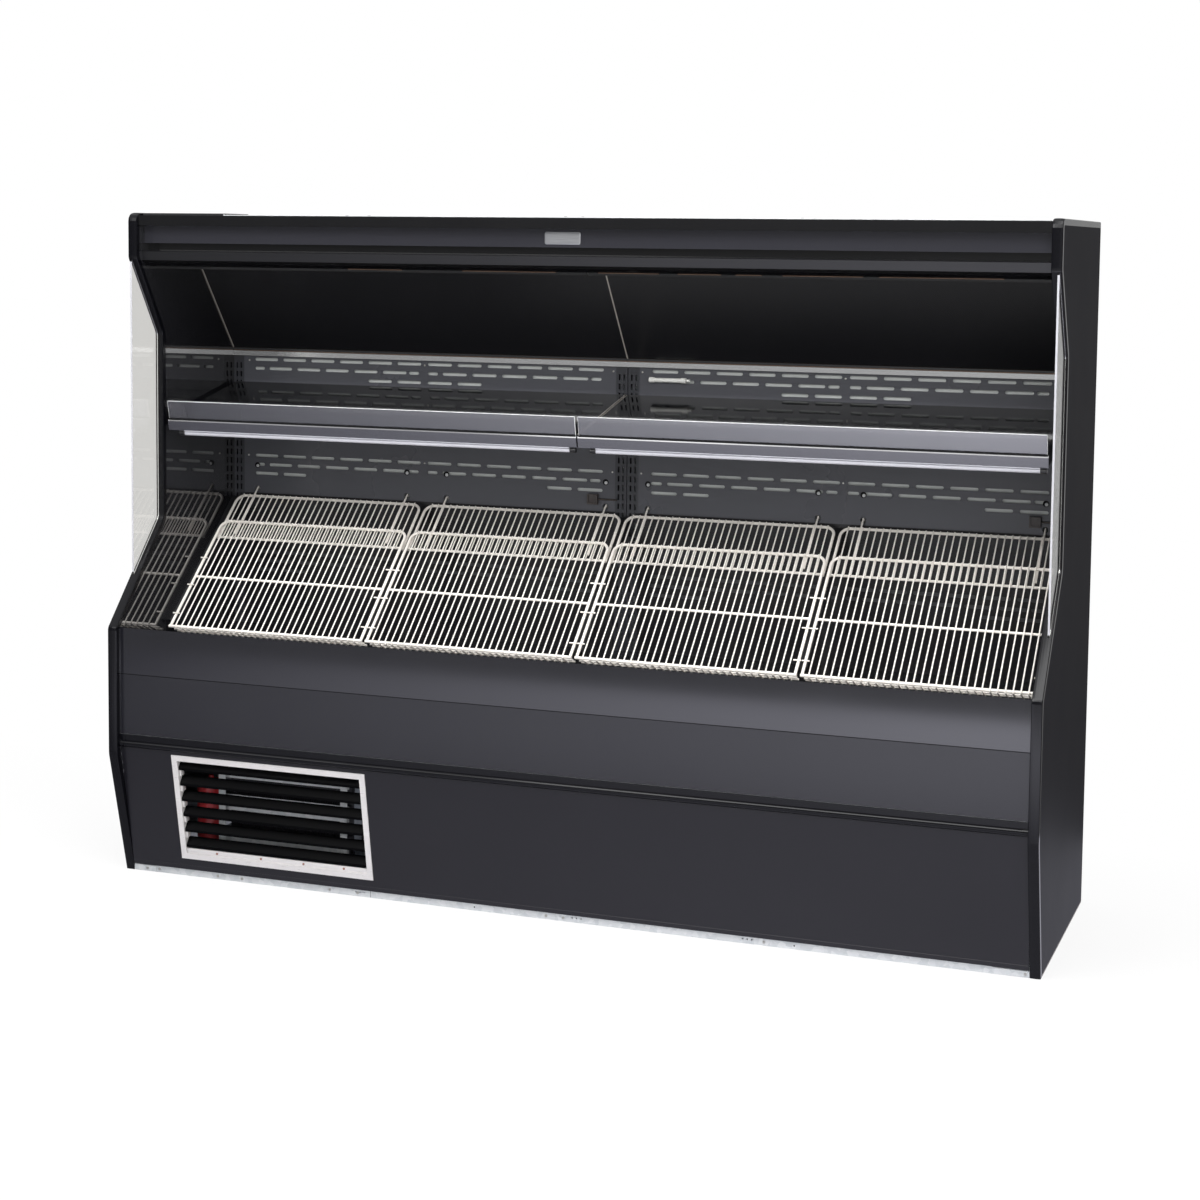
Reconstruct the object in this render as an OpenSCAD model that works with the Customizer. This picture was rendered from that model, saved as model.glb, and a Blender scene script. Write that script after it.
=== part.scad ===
// Refrigerated display case, eight feet long, with an open front, a tilted shelf and four wire racks.
// Millimetres. X runs along the case, the open front faces -Y, Z is up.
// The origin is on the floor under the middle.

/* [Case] */
// Overall width over both end panels
case_w = 2490; // [2300:10:2700]
// Overall depth from the front of the ends to the back
case_d = 760; // [740:5:820]
// Overall height
case_h = 1790; // [1770:5:1860]
// Thickness of each end panel with its trim
end_t = 26; // [22:1:32]

/* [End panels] */
// Height of the upright front part of the ends beside the canopy
canopy_h = 122; // [110:1:140]
// How far the canopy front stands behind the front of the base
canopy_back = 115; // [100:1:130]
// Height of the slanting edge under the canopy
upper_slant_h = 205; // [170:1:230]
// How far the upright edge of the display opening stands behind the front of the base
opening_back = 246; // [225:1:265]
// Height of the front corner of the base
base_h = 681; // [670:1:700]
// Height of the slanting edge above the base
lower_slant_h = 272; // [240:1:300]
// Height of the kink where the front starts to slant back to the toe
kick_h = 338; // [320:1:350]
// How far the toe stands behind the front of the base
toe_back = 86; // [70:1:100]
// Radius of the corners of the ends
corner_r = 24; // [20:1:34]
// Radius of the lower front corner of the ends
kick_r = 70; // [40:1:90]
// Thickness of the nose of the edge trim
trim_nose = 3; // [2:0.5:5]
// Depth of the trim's side flanges
trim_flange = 16; // [12:1:20]
// Thickness of the trim's side flanges
trim_wall = 2; // [1.5:0.5:3]
// Thickness of the clear side panels
glass_t = 5; // [3:0.5:8]

/* [Insulated body] */
// Thickness of the insulated rear wall
rear_t = 62; // [50:1:70]
// Thickness of the insulated roof
roof_t = 40; // [30:1:50]
// How far the ends stand above the roof
roof_drop = 8; // [4:1:14]
// Thickness of the tub's front wall and floor
tub_t = 45; // [35:1:55]
// Height of the underside of the tub
tub_z = 410; // [400:1:420]
// Height of the deck over the cooling coil
deck_z = 600; // [590:1:610]
// Thickness of the folded sheet metal
sheet = 1.5; // [1:0.25:2.5]

/* [Front] */
// How far the front panels stand behind the front of the ends
panel_back = 20; // [16:1:26]
// Height of the top edge of the front
lip_z = 680; // [674:1:690]
// Depth of the ledge behind the top edge
ledge_d = 200; // [180:1:215]
// Fall of the ledge towards the racks
ledge_fall = 44; // [40:1:50]
// Height of the seam between the two upper front panels
seam_z = 556; // [530:1:580]
// Height of the top of the bumper's channel
bumper_top = 391; // [386:1:396]
// Height of the bumper's channel
bumper_h = 33; // [28:1:38]
// Radius of the half round bumper
bumper_r = 8.5; // [6:0.5:10]
// Height of the lower panel's bottom edge
kick_gap = 19; // [8:1:24]

/* [Louvre] */
// Distance of the louvre from the left end panel
louvre_in = 155; // [130:1:200]
// Width of the louvre
louvre_w = 572; // [480:4:600]
// Height of the louvre along the slanted panel
louvre_h = 300; // [290:1:310]
// Width of the louvre frame's face
louvre_face = 16; // [12:1:20]
// Depth of the louvre frame
louvre_d = 26; // [20:1:30]
// Number of blades
louvre_n = 6; // [5:1:7]

/* [Canopy] */
// Height of the canopy front over its upper strip
strip_h = 27; // [22:1:32]
// Height of the fascia
fascia_h = 47; // [40:1:52]
// How far the fascia stands behind the upper strip
fascia_in = 33; // [24:1:40]
// Height of the canopy's underside below the top
canopy_under = 143; // [138:1:150]
// Depth of the air outlet grille
outlet_d = 90; // [70:1:110]
// Depth of the recess that the canopy's lamp sits in
lamp_in = 20; // [16:1:24]
// Diameter of the lamp tubes
lamp_d = 12; // [10:0.5:14]

/* [Back of the display] */
// Depth of the air duct in front of the rear wall
duct_d = 56; // [50:1:60]
// Height of the top edge of the slotted panels
duct_top = 1398; // [1385:1:1405]
// How far the top of the upper baffle hangs below the canopy's underside
baffle_drop = 9; // [2:1:27]
// Depth of the upper baffle from back to front
baffle_run = 180; // [150:1:200]
// Length of one air slot
slot_l = 74; // [60:1:80]
// Height of one air slot
slot_w = 9; // [6:0.5:11]
// Spacing of the air slots along a row
slot_pitch = 91; // [88:1:93]
// Spacing of the rows of air slots
row_pitch = 26; // [22:1:30]
// Spacing of the three groups of rows
group_pitch = 281; // [240:1:285]
// Width of one slotted upright
upright_w = 33; // [30:1:36]

/* [Shelf] */
// Slot of the uprights that the shelf's top hooks sit in, counted from below
shelf_slot = 26; // [24:1:27]
// Depth of the shelf along its slope
shelf_d = 390; // [340:5:410]
// Tilt of the shelf towards the front
shelf_tilt = 12.4; // [8:0.2:16]
// Height of the shelf's folded edges
shelf_edge = 28; // [24:1:32]
// Height of the clear fence above the shelf
fence_h = 50; // [40:1:70]
// Height of the price rail
rail_h = 31; // [26:1:36]

/* [Racks] */
// Diameter of the racks' frame rods
rod_d = 8; // [6:0.5:9]
// Diameter of the racks' wires
wire_d = 4; // [3:0.25:4.5]
// Spacing of the wires
wire_pitch = 19; // [17:0.5:26]
// Length of the rear racks from rod to rod
rear_rack_l = 164; // [150:1:180]
// Distance from the rear rack's top rod to the front rack's top rod
front_rack_in = 113; // [100:1:125]
// Height of the holes in the rear panels that the racks hook into
hook_z = 998; // [985:1:1010]
// Gap between neighbouring racks
rack_gap = 10; // [8:1:14]
// Gap between the outer racks and the end panels
rack_side = 20; // [14:1:26]
// Length of the racks' folded nose
nose_l = 46; // [36:1:50]

/* [Machine compartment] */
// Width of the condenser
condenser_w = 340; // [300:5:350]
// Height of the condenser
condenser_h = 250; // [220:5:270]
// Radius of the condenser fan
fan_r = 105; // [90:1:112]
// Radius of the compressor's can
compressor_r = 80; // [70:1:90]
// Height of the compressor's can
compressor_h = 190; // [160:5:220]
// Radius of the red receiver tank
tank_r = 38; // [30:1:45]
// Height of the receiver tank
tank_h = 190; // [150:5:230]

/* [Hidden] */
$fn = 48;

// Clearances: a slip gap between parts that move, a seam between panels and a running fit on shafts
slip = 0.3;
seam = 2;
shaft_fit = 0.05;

// Main planes
half_w = case_w / 2;
in_x = half_w - end_t;
front_y = -case_d / 2;
back_y = case_d / 2;
canopy_y = front_y + canopy_back;
kink_z = case_h - canopy_h;
panel_y = front_y + panel_back;
tub_y = panel_y + sheet;
wall_y = back_y - rear_t;
duct_y = wall_y - duct_d;
roof_z = case_h - roof_drop;
ceiling_z = case_h - canopy_under;
baffle_top = ceiling_z - baffle_drop;

// Lower frame
rail_h0 = 56;
rail_d = 40;
rail_t = 2.5;
rail_y = front_y + toe_back + 2;
header_h = 52;
post_w = 20;

// Slanted lower panel
kick_top = bumper_top - bumper_h - seam;
kick_bottom_y = rail_y - 5;
kick_a = atan2(kick_bottom_y - panel_y, kick_top - kick_gap);
kick_l = norm([kick_bottom_y - panel_y, kick_top - kick_gap]);
louvre_x = -in_x + louvre_in;
louvre_top = 10;

// Uprights and their slots
notch_pitch = 25.4;
notch_h = 16;
notch_w = 5;
upright_z = deck_z;
upright_top = duct_top;
notch_n = floor((upright_top - upright_z - 20) / notch_pitch);

// Shelf
shelf_gap = 4;
shelf_end = 14;
shelf_w = in_x - shelf_end - shelf_gap / 2;
shelf_back = 11;
shelf_z = upright_z + 12 + notch_pitch * shelf_slot + 40;

// Racks: the slope runs from the hook holes to the nose that stands behind the ledge
rack_w = (2 * in_x - 2 * rack_side - 3 * rack_gap) / 4;
lip_low = lip_z - ledge_fall;
ledge_y = panel_y + ledge_d;
nose_y = ledge_y + 10;
nose_z = lip_low + 17;
weld = 0.5;
hook_r = 2.5;
rod_n = -rod_d / 2 - wire_d / 2 + weld;
front_rod_n = hook_r + slip + rod_d / 2;
front_wire_n = front_rod_n - rod_n;
nose_n = front_wire_n + wire_d / 2;
nose_run = norm([duct_y - nose_y, hook_z - nose_z]);
rack_a = atan2(hook_z - nose_z, duct_y - nose_y) + asin(nose_n / nose_run);
nose_s = sqrt(nose_run * nose_run - nose_n * nose_n);
top_rod_s = 26;
front_rod_s = top_rod_s + front_rack_in;
rear_end_s = top_rod_s + rear_rack_l;
mid_rod_s = front_rod_s + 0.53 * (nose_s - front_rod_s);
frame_r = 26;

// Machine compartment
pan_z = rail_h0;
coil_x = louvre_x + 118;
coil_y = rail_y + rail_d + 6;
coil_d = 60;
unit_z = pan_z + sheet;
fan_x = coil_x + condenser_w / 2;
fan_z = unit_z + condenser_h / 2;
shroud_d = 46;
shaft_r = 4;

function unit(v) = v / norm(v);
function turn(v) = [-v[1], v[0]];
// Point where the line through a along u meets the line through b along v
function meet(a, u, b, v) = a + u * (((b - a) * turn(v)) / (u * turn(v)));
// Corners of the closed outline p with each side i moved inwards by w[i]
function inset(p, w) = let (n = len(p)) [for (i = [0 : n - 1]) let (
    u = unit(p[i] - p[(i + n - 1) % n]),
    v = unit(p[(i + 1) % n] - p[i]))
    meet(p[i] + turn(u) * w[(i + n - 1) % n], u, p[i] + turn(v) * w[i], v)];
// Points of the arc of radius r that rounds the corner b between a and c
function arc(a, b, c, r, n) = let (
    u = unit(a - b),
    v = unit(c - b),
    h = acos(u * v) / 2,
    m = b + unit(u + v) * r / sin(h),
    p = b + u * r / tan(h) - m,
    q = b + v * r / tan(h) - m,
    t = atan2(p[1], p[0]),
    d = (atan2(q[1], q[0]) - t + 540) % 360 - 180)
    [for (k = [0 : n]) m + r * [cos(t + d * k / n), sin(t + d * k / n)]];
// Outline of a sheet of thickness t folded along the points p, on the left of them
function folded(p, t) = let (n = len(p)) concat(p, [for (i = [n - 1 : -1 : 0]) let (
    u = unit(p[max(i, 1)] - p[max(i, 1) - 1]),
    v = unit(p[min(i + 1, n - 1)] - p[min(i, n - 2)]))
    i == 0 || i == n - 1 ? p[i] + turn(u) * t : meet(p[i] + turn(u) * t, u, p[i] + turn(v) * t, v)]);

// Side profile of the ends, from the foot at the back round to the toe
profile = [[back_y, 0], [back_y, case_h], [canopy_y, case_h], [canopy_y, kink_z],
    [front_y + opening_back, kink_z - upper_slant_h], [front_y + opening_back, base_h + lower_slant_h],
    [front_y, base_h], [front_y, kick_h], [front_y + toe_back, 0]];
// Radius of each rounded corner, and -1 where the corner is hollow
corner_rs = [0, 0, 22, corner_r, corner_r, corner_r, 20, kick_r, 0];
corner_way = [0, 0, 1, 1, -1, -1, 1, 1, 0];
arc_n = 4;
// The trimmed edge from the top of the back round to the toe, moved inwards by d
function edge(d) = let (q = inset(profile, [0, d, d, d, d, d, d, d, 0]))
    [for (i = [1 : 8]) each (corner_way[i] == 0 ? [q[i]] :
        arc(q[i - 1], q[i], q[(i + 1) % 9], max(2, corner_rs[i] - corner_way[i] * d), arc_n))];

// Lays a drawing in the Y and Z plane and draws it out along X
module along_x(x, l) {
    translate([x, 0, 0]) rotate([90, 0, 90]) linear_extrude(l) children();
}
// A box between two corners
module block(a, b) {
    translate(a) cube(b - a);
}
// Frame of the slanted lower panel: its face is y = 0, and z runs down from its top edge
module on_kick() {
    translate([0, panel_y, kick_top]) rotate([kick_a, 0, 0]) children();
}
// Frame of the shelf: its top is z = 0, and -y runs down to its front
module on_shelf() {
    translate([0, duct_y, shelf_z]) rotate([shelf_tilt, 0, 0]) children();
}
// Frame of the racks: -y runs down the slope from the hook holes
module on_racks() {
    translate([0, duct_y, hook_z]) rotate([rack_a, 0, 0]) children();
}
module rod_x(r, x, l, y, z) {
    translate([x, y, z]) rotate([0, 90, 0]) cylinder(r = r, h = l);
}
module rod_y(r, x, y, l, z) {
    translate([x, y, z]) rotate([-90, 0, 0]) cylinder(r = r, h = l);
}

// END PANELS
module end_panel(side) {
    color("#2f2f33") {
        along_x(side * (half_w - end_t / 2) - end_t / 2 + trim_wall, end_t - 2 * trim_wall)
            polygon(concat([[back_y, 0]], edge(trim_nose)));
        along_x(side * (half_w - end_t / 2) - end_t / 2, end_t)
            polygon(concat([[back_y, 0]], edge(trim_flange)));
    }
}
// Section of the trim as distance across the end and distance in from its edge
function trim_section() = let (h = end_t / 2, w = end_t / 2 - trim_wall)
    [[-h, trim_flange], [-h, 2.6], [-h + 1.6, 0.9], [-h * 0.5, 0.2], [0, 0],
    [h * 0.5, 0.2], [h - 1.6, 0.9], [h, 2.6], [h, trim_flange],
    [w, trim_flange], [w, trim_nose], [-w, trim_nose], [-w, trim_flange]];
module end_trim(side) {
    s = trim_section();
    m = len(s);
    rings = [for (k = [0 : m - 1]) edge(s[k][1])];
    n = len(rings[0]);
    points = [for (k = [0 : m - 1]) for (i = [0 : n - 1]) [s[k][0], rings[k][i][0], rings[k][i][1]]];
    skin = [for (k = [0 : m - 1]) for (i = [0 : n - 2]) let (a = k * n + i, b = ((k + 1) % m) * n + i)
        each [[a, a + 1, b + 1], [a, b + 1, b]]];
    caps = [[for (k = [0 : m - 1]) k * n], [for (k = [m - 1 : -1 : 0]) k * n + n - 1]];
    color("#17171a") translate([side * (half_w - end_t / 2), 0, 0])
        polyhedron(points, concat(skin, caps), 4);
}
module end_glass(side) {
    q = edge(0);
    g = canopy_y + 2;
    // The part of the edge that lies behind the panel's own front edge
    inner = [for (p = q) if (p[0] > g + 6 && p[1] < kink_z && p[1] > base_h) p];
    first = [g, kink_z - (g - canopy_y) * upper_slant_h / (opening_back - canopy_back)];
    last = [g, base_h + (g - front_y) * lower_slant_h / opening_back];
    x = side * (half_w - 8) - glass_t / 2;
    color("#dfe6e6") along_x(x, glass_t) polygon(concat([first], inner, [last]));
}

// FRAME AND BODY
frame_back = back_y - sheet;
post_xs = [-in_x + 24, coil_x - 2 - post_w, coil_x + condenser_w + 2, 0.2 * in_x, 0.6 * in_x,
    in_x - 24 - post_w];
module arm(x, y0, z0, z1) {
    difference() {
        block([x - 5, y0 + rail_t, z0 + rail_t], [x + post_w + 5, frame_back - rail_t, z1 - rail_t]);
        block([x - 3, y0, z0 + rail_t + 2], [x + post_w + 3, frame_back, z1 - rail_t - 2]);
    }
}
module post(x, y, w) {
    translate([x, y, rail_h0]) linear_extrude(tub_z - header_h + rail_t - rail_h0)
        polygon(folded([[0, w], [0, 0], [post_w, 0]], 2));
}
module base_frame() {
    color("#b9bdc0") {
        difference() {
            along_x(-in_x, 2 * in_x) polygon(folded([[rail_y + rail_d, rail_h0], [rail_y, rail_h0],
                [rail_y, 0], [rail_y + rail_d, 0]], rail_t));
            // Fixing holes at the ends and the groups of three along the rail
            for (s = [-1, 1]) rod_y(5, s * (in_x - 60), rail_y - 1, rail_t + 2, rail_h0 / 2);
            for (x = [-0.45, 0.05, 0.42]) for (k = [0 : 2])
                rod_y(2.2, x * in_x + k * 12, rail_y - 1, rail_t + 2, kick_gap * 0.6);
        }
        along_x(-in_x, 2 * in_x) polygon(folded([[frame_back - rail_d, 0], [frame_back, 0],
            [frame_back, rail_h0], [frame_back - rail_d, rail_h0]], rail_t));
        along_x(-in_x, 2 * in_x) polygon(folded([[tub_y + rail_d, tub_z], [tub_y, tub_z],
            [tub_y, tub_z - header_h], [tub_y + rail_d, tub_z - header_h]], rail_t));
        along_x(-in_x, 2 * in_x) polygon(folded([[frame_back - rail_d, tub_z - header_h],
            [frame_back, tub_z - header_h], [frame_back, tub_z], [frame_back - rail_d, tub_z]], rail_t));
        for (x = post_xs) {
            arm(x, rail_y, 0, rail_h0);
            arm(x, tub_y, tub_z - header_h, tub_z);
            post(x, rail_y + 18, 12);
            post(x, frame_back - 32, 24);
        }
    }
}
module base_pan() {
    x0 = post_xs[1] - 120;
    x1 = post_xs[2] + 130;
    y0 = rail_y + 34;
    y1 = frame_back - 40;
    color("#9fa4a8") difference() {
        block([x0, y0, pan_z], [x1, y1, pan_z + 14]);
        block([x0 + sheet, y0 + sheet, pan_z + sheet], [x1 - sheet, y1 - sheet, pan_z + 15]);
    }
}
module rear_grille() {
    z0 = 20;
    z1 = tub_z - 4;
    color("#8f9498") translate([0, back_y, 0]) rotate([90, 0, 0]) linear_extrude(sheet) difference() {
        translate([-in_x + 2, z0]) square([2 * in_x - 4, z1 - z0]);
        for (c = [coil_x + condenser_w / 2, 0.5 * in_x]) for (i = [-2 : 2]) for (k = [0 : 9])
            translate([c + i * 90 - 36, z0 + 60 + k * 26]) square([72, 9]);
    }
}
module tub() {
    top = lip_z - ledge_fall * (tub_t + 4) / ledge_d - 3;
    floor_z = tub_z + tub_t;
    color("#c9ccce") difference() {
        along_x(-in_x, 2 * in_x) polygon([[tub_y, tub_z], [wall_y, tub_z], [wall_y, floor_z],
            [tub_y + tub_t + 30, floor_z], [tub_y + tub_t, floor_z + 30],
            [tub_y + tub_t, top], [tub_y, top]]);
        translate([0, wall_y - 30, tub_z - 1]) cylinder(r = 13, h = tub_t + 2);
    }
}
module rear_wall() {
    color("#a7abae") difference() {
        block([-in_x, wall_y, tub_z], [in_x, back_y, roof_z]);
        for (x = [-in_x / 3, in_x / 3])
            block([x - 2, back_y - 1.5, tub_z - 1], [x + 2, back_y + 1, roof_z + 1]);
    }
}
roof_front = canopy_y + 115;
module top_panel() {
    color("#c3c6c9") block([-in_x, roof_front, roof_z - roof_t], [in_x, wall_y, roof_z]);
}

// CANOPY AND AIR DUCT
outlet_y = canopy_y + 113;
strip_y = canopy_y + 9;
strip_z = roof_z + sheet - strip_h;
fascia_y = strip_y + fascia_in;
fascia_z = strip_z - fascia_h;
module canopy_front() {
    color("#26262a") along_x(-in_x, 2 * in_x) polygon(folded([[roof_front + 50, roof_z + sheet],
        [strip_y, roof_z + sheet], [strip_y, strip_z], [fascia_y, strip_z - 2], [fascia_y, fascia_z],
        [fascia_y + 18, fascia_z - 1], [fascia_y + 18, fascia_z - 18], [strip_y + 12, fascia_z - 23],
        [strip_y + 19, fascia_z - 46], [strip_y + 56, ceiling_z], [strip_y + 60, ceiling_z + lamp_in],
        [outlet_y - sheet, ceiling_z + lamp_in], [outlet_y - sheet, ceiling_z]], sheet));
}
// Flat cover on the left of the roof, over the lamp's wiring
module roof_cover() {
    z = roof_z + sheet;
    x = -in_x + 4;
    color("#17171a") difference() {
        block([x, strip_y + 20, z], [x + 250, roof_front + 40, case_h - 0.5]);
        block([x + sheet, strip_y + 20 + sheet, z - 1], [x + 250 - sheet, roof_front + 40 - sheet,
            case_h - 0.5 - sheet]);
    }
}
// A lamp hangs under the height z: a base strip, a tube and the holders at its ends
module lamp(x, l, y, z) {
    c = z - 2.8 - lamp_d / 2;
    color("#f4f4f0") rod_x(lamp_d / 2, x + 14, l - 28, y, c);
    color("#1b1b1d") {
        block([x, y - 8, z - 1.2], [x + l, y + 8, z]);
        for (e = [x, x + l - 16]) {
            rod_x(lamp_d / 2 + 1, e, 16, y, c);
            block([e + 4, y - 3, c], [e + 12, y + 3, z - 1]);
        }
    }
}
module canopy_lamp() {
    l = in_x - 50;
    for (x = [-l - 6, 6]) lamp(x, l, outlet_y - 24, ceiling_z + lamp_in);
}
module air_outlet() {
    n = floor((2 * in_x - 20) / 50);
    m = floor((outlet_d - 8) / 20);
    color("#d8dadb") translate([0, 0, ceiling_z]) linear_extrude(20) difference() {
        translate([-in_x, outlet_y]) square([2 * in_x, outlet_d]);
        for (i = [0 : n - 1]) for (k = [0 : m - 1])
            translate([(i - n / 2) * 50 + 2, outlet_y + 5 + k * 20]) square([46, 17]);
    }
}
module upper_baffle(side) {
    y1 = outlet_y + outlet_d;
    y2 = duct_y - 4;
    x = side < 0 ? -in_x : 1;
    color("#121214") along_x(x, in_x - 1) polygon(folded([[y1, ceiling_z + 16], [y1, baffle_top],
        [y2 - baffle_run, baffle_top], [y2, duct_top + 10], [y2, duct_top + sheet]], sheet));
}
module duct_cap() {
    color("#cfd2d4") along_x(-in_x, 2 * in_x) polygon(folded([[duct_y + 22, duct_top + sheet],
        [duct_y - 6, duct_top + sheet], [duct_y - 6, duct_top - 12]], sheet));
}
// One air slot with rounded ends, its left end at x
module slot(x, z, l) {
    translate([x, z]) square([l, slot_w]);
    for (e = [x, x + l]) translate([e, z + slot_w / 2]) circle(r = slot_w / 2);
}
// Six columns of slots: a full row, a row shifted by half a slot and a short row
module slot_group(x, z, flip) {
    h = (slot_pitch - slot_w) / 2;
    r = slot_l - slot_w;
    for (k = [0 : 5]) slot(x + k * slot_pitch, z, r);
    for (k = [0 : 4]) slot(x + slot_pitch / 2 + k * slot_pitch, z - row_pitch, r);
    for (k = [x, x + 5.5 * slot_pitch - slot_w]) slot(k, z - row_pitch, slot_pitch / 2 - slot_w * 2.6);
    for (k = flip ? [4, 5] : [0, 1]) slot(x + k * slot_pitch, z - 2 * row_pitch, r);
}
function bay_x(i) = -in_x + rack_side + i * (rack_w + rack_gap);
module duct_panel(side) {
    x0 = side < 0 ? -in_x + upright_w : upright_w + 1;
    x1 = side < 0 ? -upright_w - 1 : in_x - upright_w;
    mid = (x0 + x1) / 2;
    g = 5 * slot_pitch + slot_l;
    b = side < 0 ? 0 : 2;
    color("#3c3d42") {
        translate([0, duct_y + sheet, 0]) rotate([90, 0, 0]) linear_extrude(sheet) difference() {
            translate([x0, deck_z]) square([x1 - x0, duct_top - deck_z]);
            for (k = [0 : 2]) {
                slot_group(mid - g - 6, duct_top - 27 - k * group_pitch, k == 0);
                slot_group(mid + 15, duct_top - 27 - k * group_pitch, k != 0);
            }
            for (i = [b, b + 1]) for (x = hook_xs(bay_x(i))) translate([x, hook_z]) circle(r = 8);
        }
        for (x = [x0, x1 - sheet]) block([x, duct_y + sheet, deck_z], [x + sheet, duct_y + 20, duct_top]);
        for (z = [deck_z, duct_top - sheet]) block([x0, duct_y + sheet, z], [x1, duct_y + 20, z + sheet]);
    }
}
upright_xs = [-in_x, -upright_w - 1, 1, in_x - upright_w];
notch_cols = [0.3, 0.7];
function notch_z(k) = upright_z + 12 + notch_pitch * k;
module shelf_uprights() {
    color("#2c2d31") for (x0 = upright_xs) {
        translate([0, duct_y + 2, 0]) rotate([90, 0, 0]) linear_extrude(2) difference() {
            translate([x0, upright_z]) square([upright_w, duct_top - upright_z]);
            for (c = notch_cols) for (k = [0 : notch_n - 1])
                translate([x0 + c * upright_w - notch_w / 2, notch_z(k)]) square([notch_w, notch_h]);
        }
        for (x = [x0, x0 + upright_w - 2]) block([x, duct_y + 2, upright_z], [x + 2, wall_y, duct_top]);
    }
}

// SHELF
shelf_xs = [-in_x + shelf_end, shelf_gap / 2];
function tilted(y, z) = [duct_y + y * cos(shelf_tilt) - z * sin(shelf_tilt),
    shelf_z + y * sin(shelf_tilt) + z * cos(shelf_tilt)];
module shelf(k) {
    x = shelf_xs[k];
    color("#0f0f11") on_shelf() difference() {
        block([x, -shelf_d, -shelf_edge], [x + shelf_w, -shelf_back, 0]);
        block([x + sheet, -shelf_d + sheet, -shelf_edge - 1],
            [x + shelf_w - sheet, -shelf_back + 1, -sheet]);
    }
}
// One bracket plate with its two hooks, its left face at x
module bracket(x) {
    y = duct_y - slip;
    low = notch_z(shelf_slot - 2);
    a = tilted(0, -sheet);
    b = tilted(-shelf_d + 14, -sheet);
    c = tilted(-shelf_d + 14, -18);
    along_x(x, 3) {
        polygon([[y, low - 14], [y, a[1] - (a[0] - y) * tan(shelf_tilt)], b, c, [y - 40, low - 6]]);
        for (z = [low, notch_z(shelf_slot)]) {
            translate([y - 6, z + slip]) square([slip + 11.5, 7]);
            translate([duct_y + 2.5, z - 5]) square([3, 7]);
        }
    }
}
module shelf_brackets(k) {
    a = k == 0 ? upright_xs[0] + notch_cols[1] * upright_w : upright_xs[2] + notch_cols[0] * upright_w;
    b = k == 0 ? upright_xs[1] + notch_cols[1] * upright_w : upright_xs[3] + notch_cols[0] * upright_w;
    color("#232327") {
        bracket(a - 1.5);
        bracket(b - 1.5);
    }
}
module price_rail(k) {
    y = -shelf_d;
    color("#6b6c7a") on_shelf() along_x(shelf_xs[k], shelf_w)
        polygon([[y, 0], [y, -rail_h], [y - 13, -rail_h], [y - 14, -5], [y - 11, 0],
            [y - 9.3, 0], [y - 9.3, -12], [y - 4.7, -12], [y - 4.7, 0]]);
}
module shelf_fence(k) {
    x = shelf_xs[k] + 3;
    color("#e3e9ea") on_shelf() block([x, -shelf_d - 9, -12], [x + shelf_w - 6, -shelf_d - 5, fence_h]);
}
module shelf_lamp(k) {
    on_shelf() lamp(shelf_xs[k] + 32, shelf_w - 36, -shelf_d - 8, -rail_h);
}

// FRONT PANELS
module front_lip() {
    n = floor(2 * in_x / 80);
    h = (lip_low - deck_z) / 3;
    color("#3a3b40") difference() {
        along_x(-in_x, 2 * in_x) polygon(folded([[ledge_y, deck_z - 22], [ledge_y, lip_low],
            [panel_y, lip_z], [panel_y, seam_z]], sheet));
        for (x = [for (i = [0 : n - 1]) (i - n / 2) * 80])
            block([x + 8, ledge_y - 3, deck_z + h], [x + 72, ledge_y + 3, deck_z + 2 * h]);
    }
}
module front_panel_upper() {
    color("#36373c") block([-in_x, panel_y, bumper_top + 1], [in_x, tub_y, seam_z - seam]);
}
module bumper_rail() {
    z = bumper_top - bumper_h;
    y = tub_y - 3;
    color("#1a1a1c") {
        along_x(-in_x + 14, 2 * in_x - 28) {
            translate([y, z]) square([3, bumper_h]);
            translate([y - 3, bumper_top - 3]) square([4, 3]);
            difference() {
                translate([y, z + bumper_r]) circle(r = bumper_r);
                translate([y + 0.5, z - 1]) square([20, 40]);
            }
        }
        for (x = [-in_x + 1, in_x - 15]) along_x(x, 14) {
            translate([y - 1, z]) square([4, bumper_h]);
            difference() {
                translate([y, z + bumper_r]) circle(r = bumper_r + 1);
                translate([y + 0.5, z - 1]) square([20, 40]);
            }
        }
    }
}
module front_panel_lower() {
    w = louvre_face - 5;
    color("#33323b") on_kick() difference() {
        union() {
            block([-in_x + 1, 0, -kick_l], [in_x - 1, sheet, 0]);
            block([-in_x + 1, 0, -sheet], [in_x - 1, 6, 0]);
            block([-in_x + 1, 0, -kick_l], [in_x - 1, 5, -kick_l + sheet]);
        }
        block([louvre_x + w, -1, -louvre_top - louvre_h + w], [louvre_x + louvre_w - w, 5, -louvre_top - w]);
    }
}
module louvre_frame() {
    w = louvre_face;
    x0 = louvre_x;
    x1 = louvre_x + louvre_w;
    z0 = -louvre_top - louvre_h;
    z1 = -louvre_top;
    color("#c6c8c9") on_kick() {
        difference() {
            block([x0, -2, z0], [x1, 0, z1]);
            block([x0 + w, -3, z0 + w], [x1 - w, 1, z1 - w]);
        }
        difference() {
            block([x0 + w - 2, -2, z0 + w - 2], [x1 - w + 2, louvre_d, z1 - w + 2]);
            block([x0 + w, -3, z0 + w], [x1 - w, louvre_d + 1, z1 - w]);
        }
    }
}
module louvre_blades() {
    x0 = louvre_x + louvre_face;
    h = louvre_h - 2 * louvre_face;
    p = h / louvre_n;
    d = louvre_d - 4;
    color("#101012") on_kick() for (k = [0 : louvre_n - 1])
        translate([0, 0, -louvre_top - louvre_face - (k + 0.32) * p])
            along_x(x0, louvre_w - 2 * louvre_face)
                polygon(folded([[d, 10], [d - 4, 9], [2, -6], [1.5, -13]], 1.6));
}

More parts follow.
